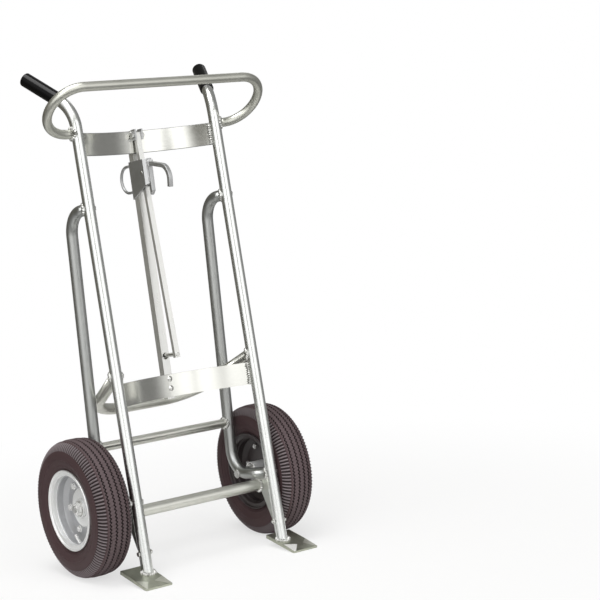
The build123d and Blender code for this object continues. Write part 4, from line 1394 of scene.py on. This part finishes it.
# Studio
@dataclass(frozen=True)
class Lamp:
    """Soft rectangular lamp aimed at the truck."""

    name: str
    place: Point
    size: Span
    power: float
    aim: Point = (0.0, 0.0, 0.7)

    def hang(self) -> None:
        """Adds the lamp."""
        data = bpy.data.lights.new(self.name, "AREA")
        data.shape = "RECTANGLE"
        data.size, data.size_y = self.size
        data.energy = self.power
        lamp = add(self.name, data)
        lamp.location = self.place
        look = Vector(self.aim) - Vector(self.place)
        lamp.rotation_euler = look.to_track_quat("-Z", "Y").to_euler()


@dataclass(frozen=True)
class Patch:
    """Round patch of the room, by angles in degrees; a bearing of 0 is straight in front of the truck."""

    bearing: float
    height: float
    inner: float
    outer: float
    depth: float = 1.0

    def cover(self, recipe: Recipe, where: Wire) -> Wire:
        """How much of the patch a direction meets.

        Args:
            recipe: Node tree of the room.
            where: Direction in the room.

        Returns:
            The depth inside the inner angle, falling to 0 at the outer one.
        """
        bearing, height = math.radians(self.bearing), math.radians(self.height)
        level = math.cos(height)
        middle = (math.sin(bearing) * level, -math.cos(bearing) * level, math.sin(height))
        dot = {"operation": "DOT_PRODUCT"}
        facing = recipe.make("ShaderNodeVectorMath", dot, {0: where, 1: middle}, output="Value")
        rim, core = math.cos(math.radians(self.outer)), math.cos(math.radians(self.inner))
        return self.depth * facing.step(rim, core)


@dataclass(frozen=True)
class Studio:
    """White floor and backdrop, a bright wall in front of the truck, lamps and camera."""

    floor_radius: float = 3.0
    # For every ray but the camera's, the floor fades from the near tone to the far one: a painted pool of
    # light, with painted shade away from the truck.
    floor_pool_light: Colour = (0.9, 0.9, 0.89)
    floor_far_painted_shade: Colour = (0.28, 0.28, 0.28)
    floor_shade_fade: Span = (0.5, 1.7)
    floor_shade: Colour = (0.34, 0.34, 0.34)
    floor_glow: float = 0.64
    white: Colour = (1.0, 1.0, 1.0)
    white_fade: Span = (0.6, 2.2)
    left_back: Colour = (0.14, 0.134, 0.112)
    right_back: Colour = (0.27, 0.27, 0.265)
    back_fade: Span = (-0.3, 0.8)
    wall: Patch = Patch(bearing=-26.0, height=0.0, inner=40.0, outer=80.0)
    wall_light: Colour = (1.7, 1.7, 1.69)
    wall_foot: Span = (-0.3, -0.16)
    wall_horizon: Span = (-0.02, 0.05)
    foot_share: float = 0.6
    shades: tuple[Patch, ...] = (
        Patch(bearing=-27.0, height=15.5, inner=6.0, outer=14.5, depth=0.96),
        Patch(bearing=3.0, height=8.5, inner=2.5, outer=5.5, depth=0.72),
    )
    lamps: tuple[Lamp, ...] = (
        Lamp("top_lamp", (-1.0, -0.3, 4.8), (2.8, 2.8), 120.0),
        Lamp("left_lamp", (-3.6, -2.6, 3.4), (1.6, 1.6), 20.0),
        Lamp("toe_lamp", (2.8, 2.4, 3.4), (1.0, 1.0), 5.0, (0.25, -0.22, 0.02)),
    )
    eye: Point = (-2.6838, -4.3637, 1.3004)
    eye_turn: Point = (83.646, 4.198, -36.33)
    lens: float = 105.88

    def set_up(self) -> None:
        """Builds the whole studio."""
        self._floor()
        self._world()
        for lamp in self.lamps:
            lamp.hang()
        self._camera()
        bpy.context.scene.view_settings.view_transform = "Standard"

    def _floor(self) -> None:
        """Pale floor that meets the white backdrop and keeps the shadow."""
        mesh = bmesh.new()
        bmesh.ops.create_circle(mesh, cap_ends=True, segments=96, radius=self.floor_radius)
        data = bpy.data.meshes.new("floor")
        mesh.to_mesh(data)
        mesh.free()
        paint = bpy.data.materials.new("floor_paint")
        paint.use_nodes = True
        self._paint(Recipe(paint.node_tree))
        data.materials.append(paint)
        add("floor", data)

    def _paint(self, recipe: Recipe) -> None:
        """Floor paint, which turns to the white of the backdrop away from the truck for the camera; for
        every other ray it is a painted pool of light that darkens to painted shade away from the truck.

        Args:
            recipe: Node tree of the paint.
        """
        ray = recipe.make("ShaderNodeLightPath", output="Is Camera Ray")
        length = {"operation": "LENGTH"}
        reach = recipe.make("ShaderNodeVectorMath", length, {0: recipe.place()}, output="Value")
        # Painted pool of light near the truck and painted shade further out, for rays other than the
        # camera's.
        tone = recipe.blend(reach.step(*self.floor_shade_fade), rgba(self.floor_pool_light), rgba(self.floor_far_painted_shade))
        bare = recipe.make("ShaderNodeBsdfDiffuse", inputs={"Color": tone})
        shaded = recipe.make("ShaderNodeBsdfDiffuse", inputs={"Color": rgba(self.floor_shade)})
        glow = self._glow(recipe, self.floor_glow)
        near = recipe.make("ShaderNodeAddShader", inputs={0: shaded, 1: glow})
        far = self._glow(recipe, 1.0)
        seen = recipe.make("ShaderNodeMixShader", inputs={0: reach.step(*self.white_fade), 1: near, 2: far})
        recipe.end(recipe.make("ShaderNodeMixShader", inputs={0: ray, 1: bare, 2: seen}))

    def _glow(self, recipe: Recipe, strength: float) -> Wire:
        """White light of a given strength."""
        return recipe.make("ShaderNodeEmission", inputs={"Color": rgba(self.white), "Strength": strength})

    def _world(self) -> None:
        """White for the camera, and a room that darkens behind the truck for everything else."""
        world = bpy.data.worlds.new("studio")
        bpy.context.scene.world = world
        world.use_nodes = True
        recipe = Recipe(world.node_tree)
        ray = recipe.make("ShaderNodeLightPath", output="Is Camera Ray")
        where = recipe.make("ShaderNodeTexCoord", output="Generated")
        sideways = recipe.make("ShaderNodeSeparateXYZ", inputs={0: where}, output="X")
        height = recipe.make("ShaderNodeSeparateXYZ", inputs={0: where}, output="Z")
        behind = recipe.blend(sideways.step(*self.back_fade), rgba(self.left_back), rgba(self.right_back))
        foot = self.foot_share * height.step(*self.wall_foot)
        upper = (1.0 - self.foot_share) * height.step(*self.wall_horizon)
        wall = self.wall.cover(recipe, where) * (foot + upper)
        for shade in self.shades:
            wall = wall * (1.0 - shade.cover(recipe, where))
        room = recipe.blend(wall, behind, rgba(self.wall_light))
        colour = recipe.blend(ray, room, rgba(self.white))
        shader = recipe.make("ShaderNodeBackground", inputs={"Color": colour, "Strength": 1.0})
        recipe.end(shader, "ShaderNodeOutputWorld")

    def _camera(self) -> None:
        """Camera where the photo was taken from."""
        data = bpy.data.cameras.new("camera")
        data.lens = self.lens
        data.sensor_width = 36.0
        data.clip_end = 60.0
        camera = add("camera", data)
        turn = Euler([math.radians(angle) for angle in self.eye_turn])
        camera.matrix_world = Matrix.LocRotScale(Vector(self.eye), turn, None)
        bpy.context.scene.camera = camera


def main() -> None:
    """Dresses the truck and sets up the studio."""
    logging.basicConfig(level=logging.INFO, format="%(name)s %(message)s")
    TruckFrame().dress()
    HookSlider().dress()
    for side in Side:
        Wheel(side).dress()
    Studio().set_up()


if __name__ == "__main__":
    main()
